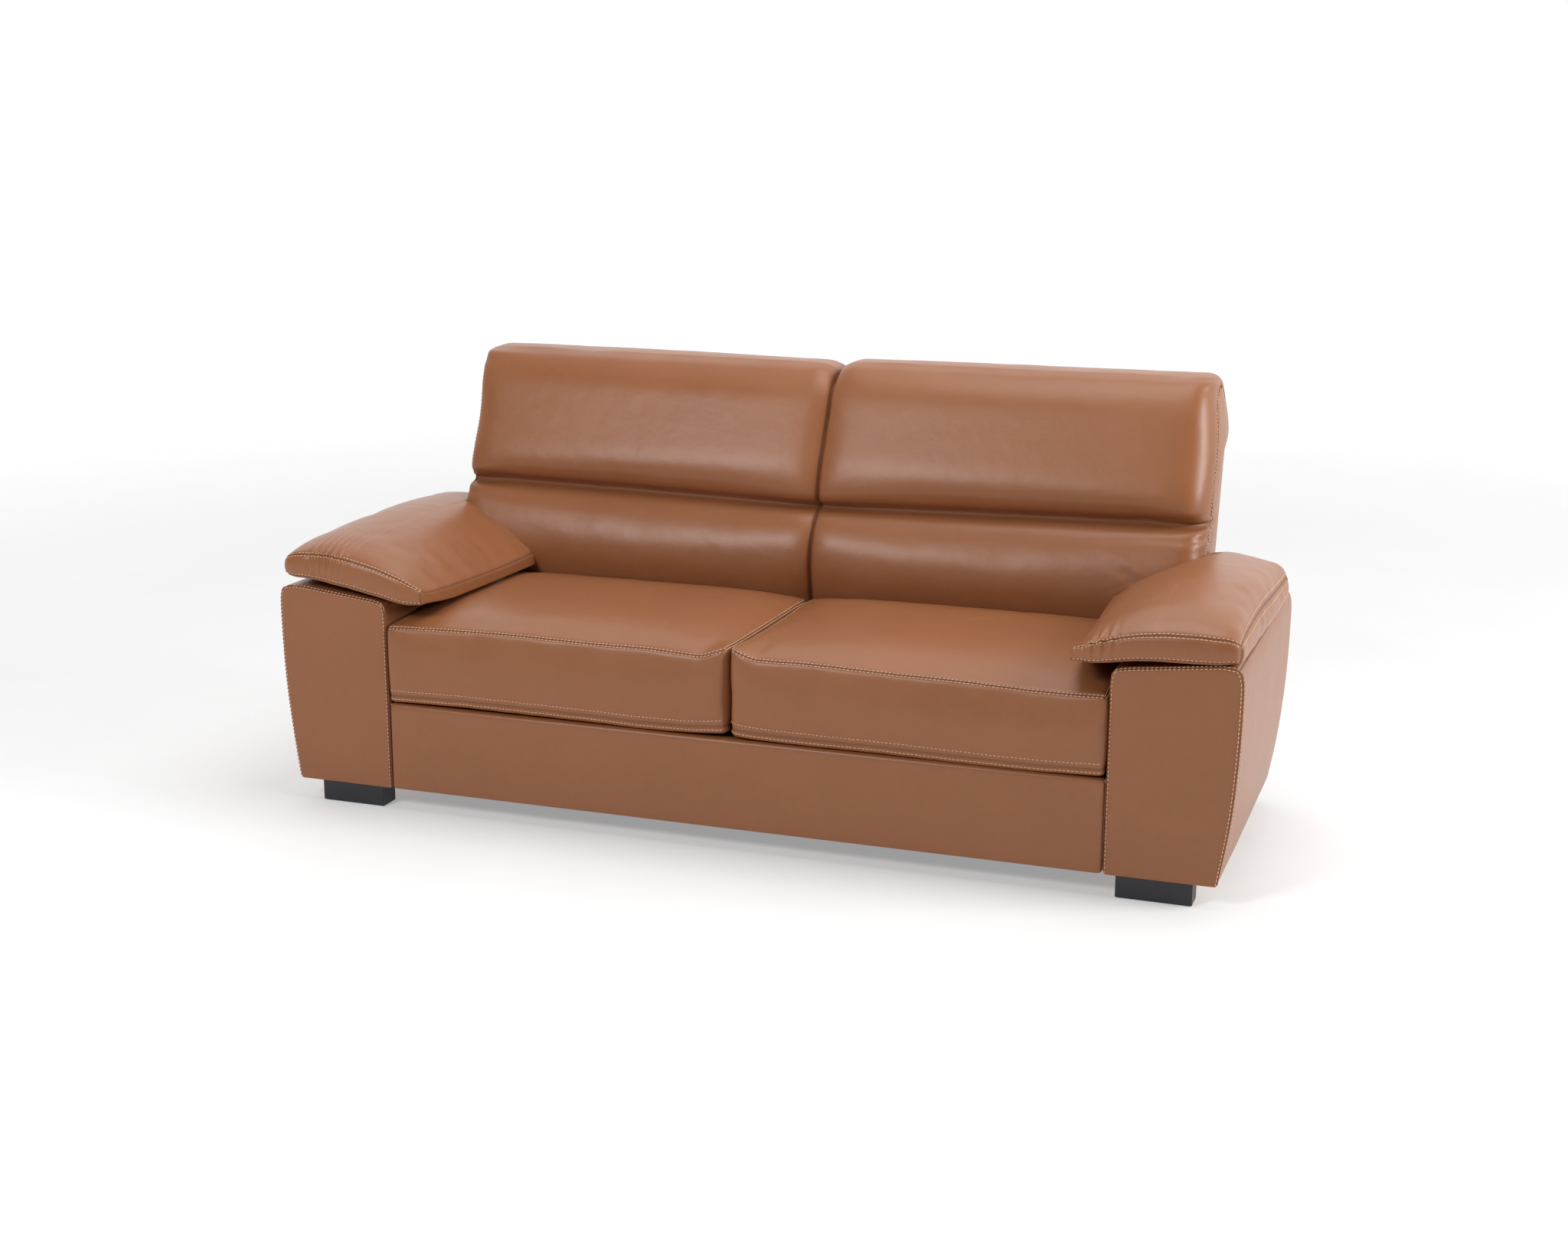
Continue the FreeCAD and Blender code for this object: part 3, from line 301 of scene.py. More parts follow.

# %% [markdown]
# ### The leather cloth
# Upholstery leather cloth is a coloured skin on a knitted back, embossed with a fine pebble grain.
# Its colour drifts slightly from place to place, and it is painted darker along every seam, as painted
# shade in the seam grooves. The grain is two sizes of Voronoi cell, which look like real pores. An image of
# leather would repeat over so long a sofa. The sheen is broad, so the roughness sits between 0.3 and 0.45,
# and it rises in the seams.

# %% Leather
def leather():
    f = Finish("tan_leather")
    seam = f.painted("seam_shade_mask")
    clouds = f.noise(5, 3)
    mottle = f.noise(60, 3, 0.6)
    pores = f.cells(820)
    creases = f.cells(430, "DISTANCE_TO_EDGE")
    deep = shade(0.255, 0.094, 0.036)
    pale = shade(0.330, 0.128, 0.052)
    body = f.mix(clouds * 0.65 + mottle * 0.35, deep, pale)
    # painted shade: near the seams the colour is mixed towards a dark brown, standing in for shade in the
    # seam grooves
    sewn = f.mix(seam * 0.58, body, shade(0.105, 0.034, 0.012))
    grain = creases.power(0.6) * 0.7 + pores * 0.3
    speckled = f.mix((1 - grain) * 0.16, sewn, shade(0.150, 0.052, 0.024))
    soft = f.bump(f.noise(22, 4, 0.55), 0.26, 0.004)
    pebbled = f.bump(grain, 0.22, 0.0007, soft)
    rough = 0.31 + clouds * 0.07 + mottle * 0.06 + seam * 0.30
    f.shader.inputs["Coat Roughness"].default_value = 0.28
    f.shader.inputs["Specular IOR Level"].default_value = 0.34
    return f.wear(Base_Color=speckled, Roughness=rough, Normal=pebbled, Coat_Weight=0.08)


TWIST = 2600


def thread():
    f = Finish("seam_thread")
    twist = (f.noise(900, 2) * 6 + f.axis("X") * TWIST + f.axis("Z") * TWIST).sine() * 0.5 + 0.5
    body = f.mix(twist, shade(0.52, 0.28, 0.16), shade(0.80, 0.52, 0.34))
    return f.wear(Base_Color=body, Roughness=0.55 + twist * 0.1, Normal=f.bump(twist, 0.4, 0.0002))


tan_leather = leather()
seam_thread = thread()
print("leather and thread are mixed")

# %% [markdown]
# ### The finishes inside and underneath
# Pine, plywood, hardboard, steel, webbing and foam hide inside the frame, and show only from below
# or when a seat cushion is pulled out. They still get their own grain, so that the open sofa looks
# like one that was built by a joiner.

# %% Woods
def pine():
    f = Finish("pine_wood")
    along = f.stretched(1.0, 9.0, 9.0)
    rings = (f.noise(3, 3, 0.5, along) * 38).sine() * 0.5 + 0.5
    fibres = f.noise(260, 3, 0.6, f.stretched(0.2, 1, 1))
    body = f.mix(rings * 0.7 + fibres * 0.3, shade(0.62, 0.40, 0.20), shade(0.44, 0.24, 0.10))
    return f.wear(Base_Color=body, Roughness=0.55 + fibres * 0.2, Normal=f.bump(fibres, 0.25, 0.0004))


def plywood():
    f = Finish("plywood_birch")
    plies = (f.axis("Z") * 2900).sine() * 0.5 + 0.5
    face = f.noise(14, 4, 0.6, f.stretched(1, 6, 1))
    body = f.mix(face * 0.7 + plies * 0.3, shade(0.60, 0.43, 0.25), shade(0.42, 0.27, 0.14))
    return f.wear(Base_Color=body, Roughness=0.6 + face * 0.15, Normal=f.bump(face, 0.2, 0.0004))


def hardboard():
    f = Finish("hardboard_brown")
    chips = f.noise(500, 4, 0.7)
    body = f.mix(chips, shade(0.16, 0.085, 0.045), shade(0.27, 0.155, 0.085))
    return f.wear(Base_Color=body, Roughness=0.5 + chips * 0.25, Normal=f.bump(chips, 0.2, 0.0003))


def black_lacquer():
    f = Finish("black_lacquer")
    grain = f.noise(180, 3, 0.6, f.stretched(0.12, 1, 1))
    dust = f.noise(24, 3)
    body = f.mix(grain * 0.6 + dust * 0.4, shade(0.007, 0.008, 0.012), shade(0.014, 0.015, 0.023))
    f.shader.inputs["Coat Roughness"].default_value = 0.2
    rough = 0.42 + dust * 0.12
    return f.wear(Base_Color=body, Roughness=rough, Coat_Weight=0.08, Normal=f.bump(grain, 0.12, 0.0003))


# %% Cloths, foam and metals
def woven(name, dark, light, pitch):
    f = Finish(name)
    warp = (f.axis("X") * pitch).sine()
    weft = (f.axis("Z") * pitch).sine() * (f.axis("Y") * pitch).sine()
    yarn = warp * weft * 0.5 + 0.5
    fuzz = f.noise(700, 3, 0.7)
    body = f.mix(yarn * 0.7 + fuzz * 0.3, dark, light)
    relief = f.bump(yarn + fuzz * 0.4, 0.5, 0.0006)
    return f.wear(Base_Color=body, Roughness=0.8 + fuzz * 0.15, Normal=relief)


def pressed(name, dark, light, size):
    """Felt, foam and bonded cloth: fibres or pores with no direction."""
    f = Finish(name)
    pores = f.cells(size)
    fuzz = f.noise(size * 0.7, 3, 0.7)
    body = f.mix(pores * 0.5 + fuzz * 0.5, dark, light)
    return f.wear(Base_Color=body, Roughness=0.82 + fuzz * 0.15, Normal=f.bump(pores + fuzz, 0.5, 0.0005))


def metal(name, tone, rough):
    f = Finish(name)
    stains = f.noise(90, 4, 0.6)
    fine = f.noise(1200, 2)
    dull = tone * 0.72
    body = f.mix(stains, shade(dull, dull, dull), shade(tone, tone * 0.98, tone * 0.94))
    f.wear(Metallic=1.0, Normal=f.bump(fine, 0.15, 0.0001))
    return f.wear(Base_Color=body, Roughness=rough + stains * 0.15)


inside = {
    "cognac_leather": tan_leather,
    "foam": pressed("cream_foam", shade(0.62, 0.55, 0.36), shade(0.82, 0.76, 0.58), 700),
    "felt": pressed("grey_felt", shade(0.05, 0.05, 0.05), shade(0.13, 0.13, 0.13), 900),
    "zinc_steel": metal("zinc_plated_steel", 0.62, 0.28),
    "black_lacquered_wood": black_lacquer(),
    "spring_steel": metal("blued_spring_steel", 0.30, 0.34),
    "nonwoven_cloth": pressed(
        "black_bonded_cloth", shade(0.016, 0.016, 0.018), shade(0.05, 0.05, 0.055), 620
    ),
    "webbing": woven("brown_webbing", shade(0.13, 0.085, 0.05), shade(0.42, 0.33, 0.22), 1500),
    "hardboard": hardboard(),
    "plywood": plywood(),
    "pine": pine(),
}
for node in frame["nodes"].values():
    for place, old in enumerate(list(node.data.materials)):
        node.data.materials[place] = inside[old.name.split(".")[0]]
print(len(frame["nodes"]), "frame pieces have their finish")

# %% [markdown]
# ## How every cushion is made
# A cushion is sewn from panels, so it starts as a block of grid lines whose edges are the seams. The
# lines crowd together beside each seam, where the cloth bends most. A shape function then bends the
# block into the stuffed form, Blender's Cloth blows the panels out between the sewn lines, and one
# subdivision smooths it. Working on grid lines keeps every seam where the sewer would put it, which
# a sculpted or voxel form would lose.

# %% Grid lines and the block's skin
BESIDE_SEAM = (0.0042, 0.0090, 0.0150)


def spaced(low, high, step, seams=(), fine=None):
    """Grid lines from low to high about step apart, closer beside the ends and each seam.

    fine is (start, end, step) of a stretch that needs more lines, such as where cloth is gathered.
    """
    marks = {low, high}
    for seam in (low, high, *seams):
        marks.add(seam)
        for away in BESIDE_SEAM:
            marks |= {p for p in (seam - away, seam + away) if low < p < high}
    marks = sorted(round(m, 5) for m in marks)
    lines = [marks[0]]
    if fine:
        marks = sorted({*marks, fine[0], fine[1]})
    for start, end in zip(marks, marks[1:]):
        close = fine is not None and fine[0] <= start and end <= fine[1]
        count = max(1, round((end - start) / (fine[2] if close else step)))
        lines += list(np.linspace(start, end, count + 1)[1:])
    return np.array(lines)


class Skin:
    """A closed skin of four-sided faces on a block of grid lines."""

    def __init__(self, xs, ys, zs):
        self.lines = (xs, ys, zs)
        self.last = last = tuple(len(line) - 1 for line in self.lines)
        grid = np.stack(np.meshgrid(*[np.arange(n + 1) for n in last], indexing="ij"), -1).reshape(-1, 3)
        self.cells = grid[((grid == 0) | (grid == last)).any(axis=1)]
        self.number = {tuple(cell): n for n, cell in enumerate(self.cells)}
        self.block = np.stack([line[self.cells[:, a]] for a, line in enumerate(self.lines)], axis=1)
        self.faces = [f for a in range(3) for end in (0, 1) for f in self.side(a, end)]
        self.points = self.block.copy()
        self.seams = []

    def side(self, axis, end):
        """The faces of one side of the block, facing outwards."""
        first, second = (axis + 1) % 3, (axis + 2) % 3
        fixed = self.last[axis] * end
        for a in range(self.last[first]):
            for b in range(self.last[second]):
                corners = []
                for da, db in ((0, 0), (1, 0), (1, 1), (0, 1)):
                    cell = [0, 0, 0]
                    cell[axis], cell[first], cell[second] = fixed, a + da, b + db
                    corners.append(self.number[tuple(cell)])
                yield corners if end else corners[::-1]

    def row(self, x=None, y=None, z=None):
        """The numbers of the points on a line of the skin; one of x, y and z is left open."""
        fixed = [self.last[a] + 1 + v if v is not None and v < 0 else v for a, v in enumerate((x, y, z))]
        open_axis = fixed.index(None)
        numbers = []
        for n in range(self.last[open_axis] + 1):
            fixed[open_axis] = n
            numbers.append(self.number[tuple(fixed)])
        return numbers

    def at_line(self, axis, place):
        """The grid line of an axis that is nearest to a place."""
        return int(np.abs(self.lines[axis] - place).argmin())


def soften(block, low, high, radius):
    """The block's points again, with every edge rounded to a radius."""
    core = np.clip(block, np.array(low) + radius, np.array(high) - radius)
    out = block - core
    size = np.linalg.norm(out, axis=1, keepdims=True)
    return core + out * radius / np.maximum(size, 1e-9) * (size > 0)


print("lines between two seams 60 mm apart:", spaced(0, 0.06, 0.015).round(4))

# %% [markdown]
# ### Stuffing by cloth simulation
# Foam pushes a sewn cover outwards everywhere except along its seams. Cloth with a little pressure
# does that: the seam points are pinned, the pressure lifts the panels, and a cover cut slightly too
# large for its seams gathers into small puckers beside them. The travel is capped, so that a
# cushion never swells into its neighbour. Afterwards the travel is evened out a little, because foam
# is stiffer than air and doesn't let the cover dent in the middle of a panel.

# %% Blow up, smooth and finish a skin
def hang(name, points, faces):
    """A new mesh object from points and faces."""
    mesh = bpy.data.meshes.new(name)
    mesh.from_pydata([tuple(p) for p in points], [], faces)
    piece = bpy.data.objects.new(name, mesh)
    bpy.context.scene.collection.objects.link(piece)
    return piece


def coordinates(mesh):
    """The places of the mesh's points."""
    flat = np.zeros(len(mesh.vertices) * 3, np.float32)
    mesh.vertices.foreach_get("co", flat)
    return flat.reshape(-1, 3).astype(float)


def evened(moved, faces, pinned, times):
    """Each point's travel, averaged with its neighbours' some times over, with the seams held still."""
    faces = np.array(faces)
    shared = np.zeros(len(moved))
    np.add.at(shared, faces.ravel(), 1)
    for _ in range(times):
        total = np.zeros_like(moved)
        middles = moved[faces].mean(axis=1)
        for corner in range(4):
            np.add.at(total, faces[:, corner], middles)
        moved = total / shared[:, None]
        moved[pinned] = 0
    return moved


SWELL_FRAMES = 20


def stuff(skin, resting, pressure, slack, cap, calm):
    """Lets the cover swell for a few frames, and moves the skin's points by no more than cap.

    The seams and the resting points stay where they are.
    """
    pinned = sorted({n for seam in skin.seams for n in seam} | set(resting))
    start = skin.points + ripple(skin.points, 0.035, SEED)[:, None] * 0.0006
    piece = hang("stuffing", start, skin.faces)
    group = piece.vertex_groups.new(name="sewn")
    group.add(pinned, 1.0, "REPLACE")
    cloth = piece.modifiers.new("Cloth", "CLOTH").settings
    cloth.quality = 5
    cloth.mass = 0.3
    cloth.tension_stiffness = 25
    cloth.compression_stiffness = 25
    cloth.shear_stiffness = 12
    cloth.bending_stiffness = 1.5
    cloth.use_pressure = True
    cloth.uniform_pressure_force = pressure
    cloth.vertex_group_mass = "sewn"
    cloth.shrink_min = -slack
    cloth.effector_weights.gravity = 0
    for moment in range(1, SWELL_FRAMES + 1):
        bpy.context.scene.frame_set(moment)
    drawn = piece.evaluated_get(bpy.context.evaluated_depsgraph_get())
    moved = coordinates(drawn.data) - start
    bpy.data.objects.remove(piece)
    bpy.context.scene.frame_set(1)
    moved = evened(moved, skin.faces, pinned, calm)
    size = np.linalg.norm(moved, axis=1, keepdims=True)
    skin.points = start + moved * np.tanh(size / cap) * cap / np.maximum(size, 1e-9)
    print("  the cover moved by up to", round(float(size.max()) * 1000, 1), "mm before the cap")


def outward(points, faces):
    """The direction that faces out of the skin at each point."""
    faces = np.array(faces)
    across = np.cross(points[faces[:, 2]] - points[faces[:, 0]], points[faces[:, 3]] - points[faces[:, 1]])
    total = np.zeros_like(points)
    for corner in range(4):
        np.add.at(total, faces[:, corner], across)
    return total / np.maximum(np.linalg.norm(total, axis=1, keepdims=True), 1e-12)


def away_from(points, others):
    """How far each point is from the nearest of some others."""
    others = np.asarray(others)
    near = np.full(len(points), np.inf)
    for start in range(0, len(others), 64):
        gaps = np.linalg.norm(points[:, None] - others[None, start : start + 64], axis=2)
        near = np.minimum(near, gaps.min(axis=1))
    return near


SEAM_SHADE = 0.0034


def finish_skin(skin, name, body, material, groove=0.0028, levels=1):
    """Presses the seams in, subdivides, paints how near a seam each point is as the mask for painted seam
    shade, and dresses it.
    """
    facing = outward(skin.points, skin.faces)
    seam_points = sorted({n for seam in skin.seams for n in seam})
    points = skin.points.copy()
    points[seam_points] -= facing[seam_points] * groove
    piece = hang(name, points, skin.faces)
    smooth = piece.modifiers.new("smooth", "SUBSURF")
    smooth.levels = levels
    drawn = piece.evaluated_get(bpy.context.evaluated_depsgraph_get())
    mesh = bpy.data.meshes.new_from_object(drawn)
    piece.modifiers.clear()
    piece.data = mesh
    mesh.name = name
    mesh.shade_smooth()
    mesh.materials.clear()
    mesh.materials.append(material)
    placed = coordinates(mesh)
    near = np.zeros(len(placed))
    if seam_points:
        sewn = placed[seam_points]
        middle = np.array([(placed[a] + placed[b]) / 2 for s in skin.seams for a, b in zip(s, s[1:])])
        near = np.exp(-((away_from(placed, np.vstack([sewn, middle])) / SEAM_SHADE) ** 2))
    # the seam mask, which the leather turns into painted shade along every seam
    painted = mesh.attributes.new("seam_shade_mask", "FLOAT", "POINT")
    painted.data.foreach_set("value", near.astype(np.float32))
    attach(piece, body)
    print(" ", name, "has", len(mesh.polygons), "faces")
    return piece


# %% [markdown]
# ### Stitches
# The seams are top-stitched twice, once on each side. Each stitch is a short bead of thread that
# dips into the cover at both ends. Real beads catch the light along the seam, where a drawn line
# would vanish from the side.

# %% Sew
STITCH = 0.0058
STITCH_GAP = 0.0026
THREAD = 0.0010
THREAD_SIDES = 5
BEAD = ((0, -0.2, 0.5), (0.25, 0.45, 1), (0.75, 0.45, 1), (1, -0.2, 0.5))


def sewing(name, runs, body):
    """One mesh of stitches along runs of (points, directions out of the cover).

    Each stitch is a bead of four rings, given in BEAD as (share of the stitch, lift, width).
    """
    points, faces = [], []
    turns = np.linspace(0, 2 * math.pi, THREAD_SIDES, endpoint=False)
    around = [(math.cos(a), math.sin(a)) for a in turns]
    for line, facing in runs:
        lengths = np.linalg.norm(np.diff(line, axis=0), axis=1)
        along = np.concatenate([[0], np.cumsum(lengths)])
        for start in np.arange(STITCH_GAP, along[-1] - STITCH, STITCH + STITCH_GAP):
            ring = []
            for share, lift, wide in BEAD:
                at = start + share * STITCH
                centre = np.array([np.interp(at, along, line[:, a]) for a in range(3)])
                out = np.array([np.interp(at, along, facing[:, a]) for a in range(3)])
                ahead = np.array([np.interp(at + 0.001, along, line[:, a]) for a in range(3)]) - centre
                ahead /= max(np.linalg.norm(ahead), 1e-9)
                out /= max(np.linalg.norm(out), 1e-9)
                beside = np.cross(ahead, out)
                centre = centre + out * THREAD * lift
                ring.append(len(points))
                points += [centre + THREAD * wide * (c * out + s * beside) for c, s in around]
            for a, b in zip(ring, ring[1:]):
                for n in range(THREAD_SIDES):
                    after = (n + 1) % THREAD_SIDES
                    faces.append((a + n, a + after, b + after, b + n))
            faces.append([ring[0] + n for n in reversed(range(THREAD_SIDES))])
            faces.append([ring[-1] + n for n in range(THREAD_SIDES)])
    piece = hang(name, points, faces)
    piece.data.shade_smooth()
    piece.data.materials.append(seam_thread)
    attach(piece, body)
    print(" ", name, "has", len(points) // (THREAD_SIDES * len(BEAD)), "stitches")


def run_on(piece, numbers):
    """A run of stitches through the numbered points of a piece."""
    at = piece.data.vertices
    line = np.array([at[n].co for n in numbers])
    facing = np.array([at[n].normal for n in numbers])
    return line, facing


# %% [markdown]
# ## The seat cushions
# Each seat is a loose boxed cushion: a top panel, a band round the sides and a bottom panel. The top
# crowns by two or three centimetres, the band bulges at the front, and the cushion rests flat on the
# spring deck. The two inner front corners stand up a little, as corners do where two seams meet.

# %% Seat cushions
SEAT_LOW = (0.001, -0.4215, 0.2385)
SEAT_HIGH = (0.769, 0.088, 0.4130)
SEAT_ROUND = 0.013
SEAT_GRID = 0.014
SEAT_EDGE = {
    -1: [
        (0.0, 0.419), (0.03, 0.412), (0.16, 0.413), (0.32, 0.412), (0.47, 0.414), (0.62, 0.412),
        (0.77, 0.407),
    ],
    1: [
        (0.0, 0.418), (0.05, 0.412), (0.16, 0.412), (0.32, 0.408), (0.47, 0.406), (0.62, 0.401),
        (0.77, 0.403),
    ],
}
SEAT_FOOT = {
    -1: [(0.0, 0.007), (0.15, -0.001), (0.32, 0.001), (0.47, 0.002), (0.62, 0.003), (0.77, 0.0)],
    1: [(0.0, 0.002), (0.15, -0.001), (0.32, -0.001), (0.47, -0.003), (0.62, -0.003), (0.77, 0.002)],
}


def seat_shape(skin, side):
    block = skin.block * (side, 1, 1)
    points = soften(block, SEAT_LOW, SEAT_HIGH, SEAT_ROUND)
    x, y, z = points.T.copy()
    across, along, height = np.clip((block - SEAT_LOW) / np.subtract(SEAT_HIGH, SEAT_LOW), 0, 1).T
    edge = follow(SEAT_EDGE[side], block[:, 0]) - SEAT_HIGH[2]
    middle = 1 - np.abs(2 * across - 1) ** 4
    rise = (1 - (1 - np.minimum(along / 0.42, 1)) ** 2.2) * (1 - 0.25 * ease(0.8, 1, along))
    crown = 0.018 * middle * rise + 0.006 * rise
    z += height * (edge * (1 - ease(0.0, 0.5, along)) + crown)
    z += (1 - height) * follow(SEAT_FOOT[side], block[:, 0]) * (1 - ease(0.0, 0.12, along))
    belly = np.sin(math.pi * height) * (1 - ease(0, 0.03, along))
    y -= belly * (0.005 + 0.004 * middle)
    y += (1 - ease(0, 0.03, along)) * 0.004 * np.sin(math.pi * across)
    x += np.sin(math.pi * along) * np.where(across < 0.5, 0.003, -0.003) * (np.abs(2 * across - 1) > 0.97)
    turn = np.clip((0.048 - block[:, 0]) / 0.047, 0, 1)
    y += (0.022 if side > 0 else 0.007) * (1 - np.sqrt(1 - turn**2 * 0.98)) * (1 - ease(0, 0.12, along))
    corner = hump(SEAT_LOW[0], 0.05, block[:, 0]) * hump(SEAT_LOW[1], 0.06, block[:, 1]) * height
    z += corner * 0.007
    fold = hump(0.055, 0.016, block[:, 0]) * hump(-0.385, 0.05, block[:, 1]) * (height > 0.9)
    z -= fold * 0.005
    skin.points = np.stack([x * side, y, z], axis=1)


def mirrored(lines, side):
    """The same grid lines on the sofa's left or right side."""
    return lines if side > 0 else -lines[::-1]


def ends(side):
    """Which grid line is the outer end, the inner end, the one beside the outer and beside the inner."""
    return (-1, 0, -2, 1) if side > 0 else (0, -1, 1, -2)


for word, side in SIDES:
    xs, ys, zs = (spaced(low, high, SEAT_GRID) for low, high in zip(SEAT_LOW, SEAT_HIGH))
    xs = mirrored(xs, side)
    skin = Skin(xs, ys, zs)
    seat_shape(skin, side)
    top = [skin.row(y=0, z=-1), skin.row(y=-1, z=-1), skin.row(x=0, z=-1), skin.row(x=-1, z=-1)]
    foot = [skin.row(y=0, z=3), skin.row(x=0, z=3), skin.row(x=-1, z=3)]
    skin.seams = top + foot
    resting = [n for n, cell in enumerate(skin.cells) if cell[2] == 0 or cell[1] == skin.last[1]]
    stuff(skin, resting, pressure=2.5, slack=0.006, cap=0.006, calm=3)
    piece = finish_skin(skin, f"seat_{word}", f"seat_cushion_{word}", tan_leather)
    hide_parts(f"seat_cover_{word}", f"seat_foam_{word}")
    rows = [skin.row(y=1, z=-1), skin.row(y=0, z=-2), skin.row(y=0, z=2), skin.row(y=0, z=4)]
    rows += [skin.row(x=1, z=-1), skin.row(x=0, z=-2), skin.row(x=-2, z=-1), skin.row(x=-1, z=-2)]
    sewing(f"seat_stitches_{word}", [run_on(piece, row) for row in rows], f"seat_cushion_{word}")

# %% [markdown]
# ## The back cushions
# Each back is one cover sewn across at the waist, with a firm roll for the small of the back below
# and a large soft pad above. The cover wraps over the top and laps down behind the frame. The outer
# edge falls away deeply to a sewn side band, and the inner edges press against each other.

# %% Back cushions
BACK_OUT = 0.849
WAIST = 0.622
BACK_TOP = 0.930
BACK_DEEP = 0.16
BACK_BEND = 0.797
BACK_FOOT = 0.241
BACK_GRID = 0.0145
FRONT_LINE = [
    (0.241, 0.514), (0.42, 0.512), (0.445, 0.506), (0.48, 0.500), (0.51, 0.500), (0.54, 0.506),
    (0.57, 0.518), (0.595, 0.534), (0.612, 0.550), (0.622, 0.560), (0.634, 0.554), (0.655, 0.552),
    (0.68, 0.559), (0.71, 0.572), (0.75, 0.592), (0.80, 0.616), (0.86, 0.643), (0.895, 0.661),
    (0.912, 0.674), (0.923, 0.688), (0.930, 0.710),
]
REAR_LINE = [
    (0.241, 0.624), (0.30, 0.626), (0.45, 0.666), (0.60, 0.709), (0.70, 0.737), (0.755, 0.754),
    (0.768, 0.778), (0.775, 0.822), (0.79, 0.832), (0.84, 0.830), (0.88, 0.823), (0.91, 0.812),
    (0.924, 0.798), (0.930, 0.778),
]


def back_shape(skin, side):
    block = skin.block * (side, 1, 1)
    x, depth, z = block.T.copy()
    share = depth / BACK_DEEP
    turn = np.clip((x - BACK_BEND) / (BACK_OUT - BACK_BEND), 0, 1) * math.pi / 2
    near = np.clip((0.050 - x) / 0.050, 0, 1)
    upper = ease(0.50, 0.60, z)
    fall = (1 - np.cos(turn)) * (0.025 + (0.047 if side > 0 else -0.007) * upper)
    fall += 0.014 * (1 - (1 - near**2) ** 0.5)
    x = np.where(turn > 0, BACK_BEND + (BACK_OUT - BACK_BEND) * np.sin(turn), x)
    crease = 0.020 * hump(WAIST, 0.010, z)
    front = FRONT + follow(FRONT_LINE, z) + fall + crease * (1 - 0.6 * (turn / 1.6) ** 3)
    rear = FRONT + follow(REAR_LINE, z)
    middle = 1 - np.abs(2 * np.clip(x / BACK_OUT, 0, 1) - 1) ** 3
    front -= 0.005 * middle * np.sin(math.pi * np.clip((z - WAIST) / (BACK_TOP - WAIST), 0, 1))
    y = front + share * (rear - front)
    lower = 1 - ease(0.484, 0.506, z)
    x -= 0.080 * lower * ease(0.55, BACK_OUT, x)
    bow = np.sin(math.pi * share)
    x += (block[:, 0] > BACK_OUT - 1e-6) * (bow * 0.003 - 0.001)
    high = ease(0.74, 0.93, z)
    x += ease(0.6, BACK_OUT, x) * upper * (0.005 + 0.015 * high if side < 0 else 0.006 - 0.016 * high)
    drop = np.clip((block[:, 0] - (BACK_OUT - 0.040)) / 0.040, 0, 1)
    notch = np.clip((0.044 - block[:, 0]) / 0.043, 0, 1)
    lift = (0.017 if side < 0 else 0.034) * (1 - np.sqrt(1 - drop**2 * 0.98))
    lift += 0.030 * (1 - np.sqrt(1 - notch**2 * 0.98))
    flat, swept = (0.012, 0.006) if side < 0 else (0.010, 0.0024)
    top_line = flat + swept * hump(0, 0.30, block[:, 0])
    z = z - ease(0.84, 0.93, z) * (lift + top_line)
    z += 0.016 * (block[:, 0] / BACK_OUT - 0.65) * hump(WAIST, 0.06, block[:, 2])
    return np.stack([x * side, y, z], axis=1)


def pleats(points, at, way, spread, pitch, depth, reach_in):
    """How far each point sinks into small folds that run in from a sewn end.

    at is the middle of the sewn end, way the direction across the folds, spread how wide the
    folded stretch is, pitch the fold's width, depth its depth and reach_in how far it runs.
    """
    gap = points - np.array(at)
    across = gap @ np.array(way)
    inward = np.linalg.norm(gap - across[:, None] * np.array(way), axis=1)
    wave = np.cos(across / pitch * 2 * math.pi + inward * 18)
    return depth * wave * np.exp(-((across / spread) ** 2)) * np.exp(-inward / reach_in)


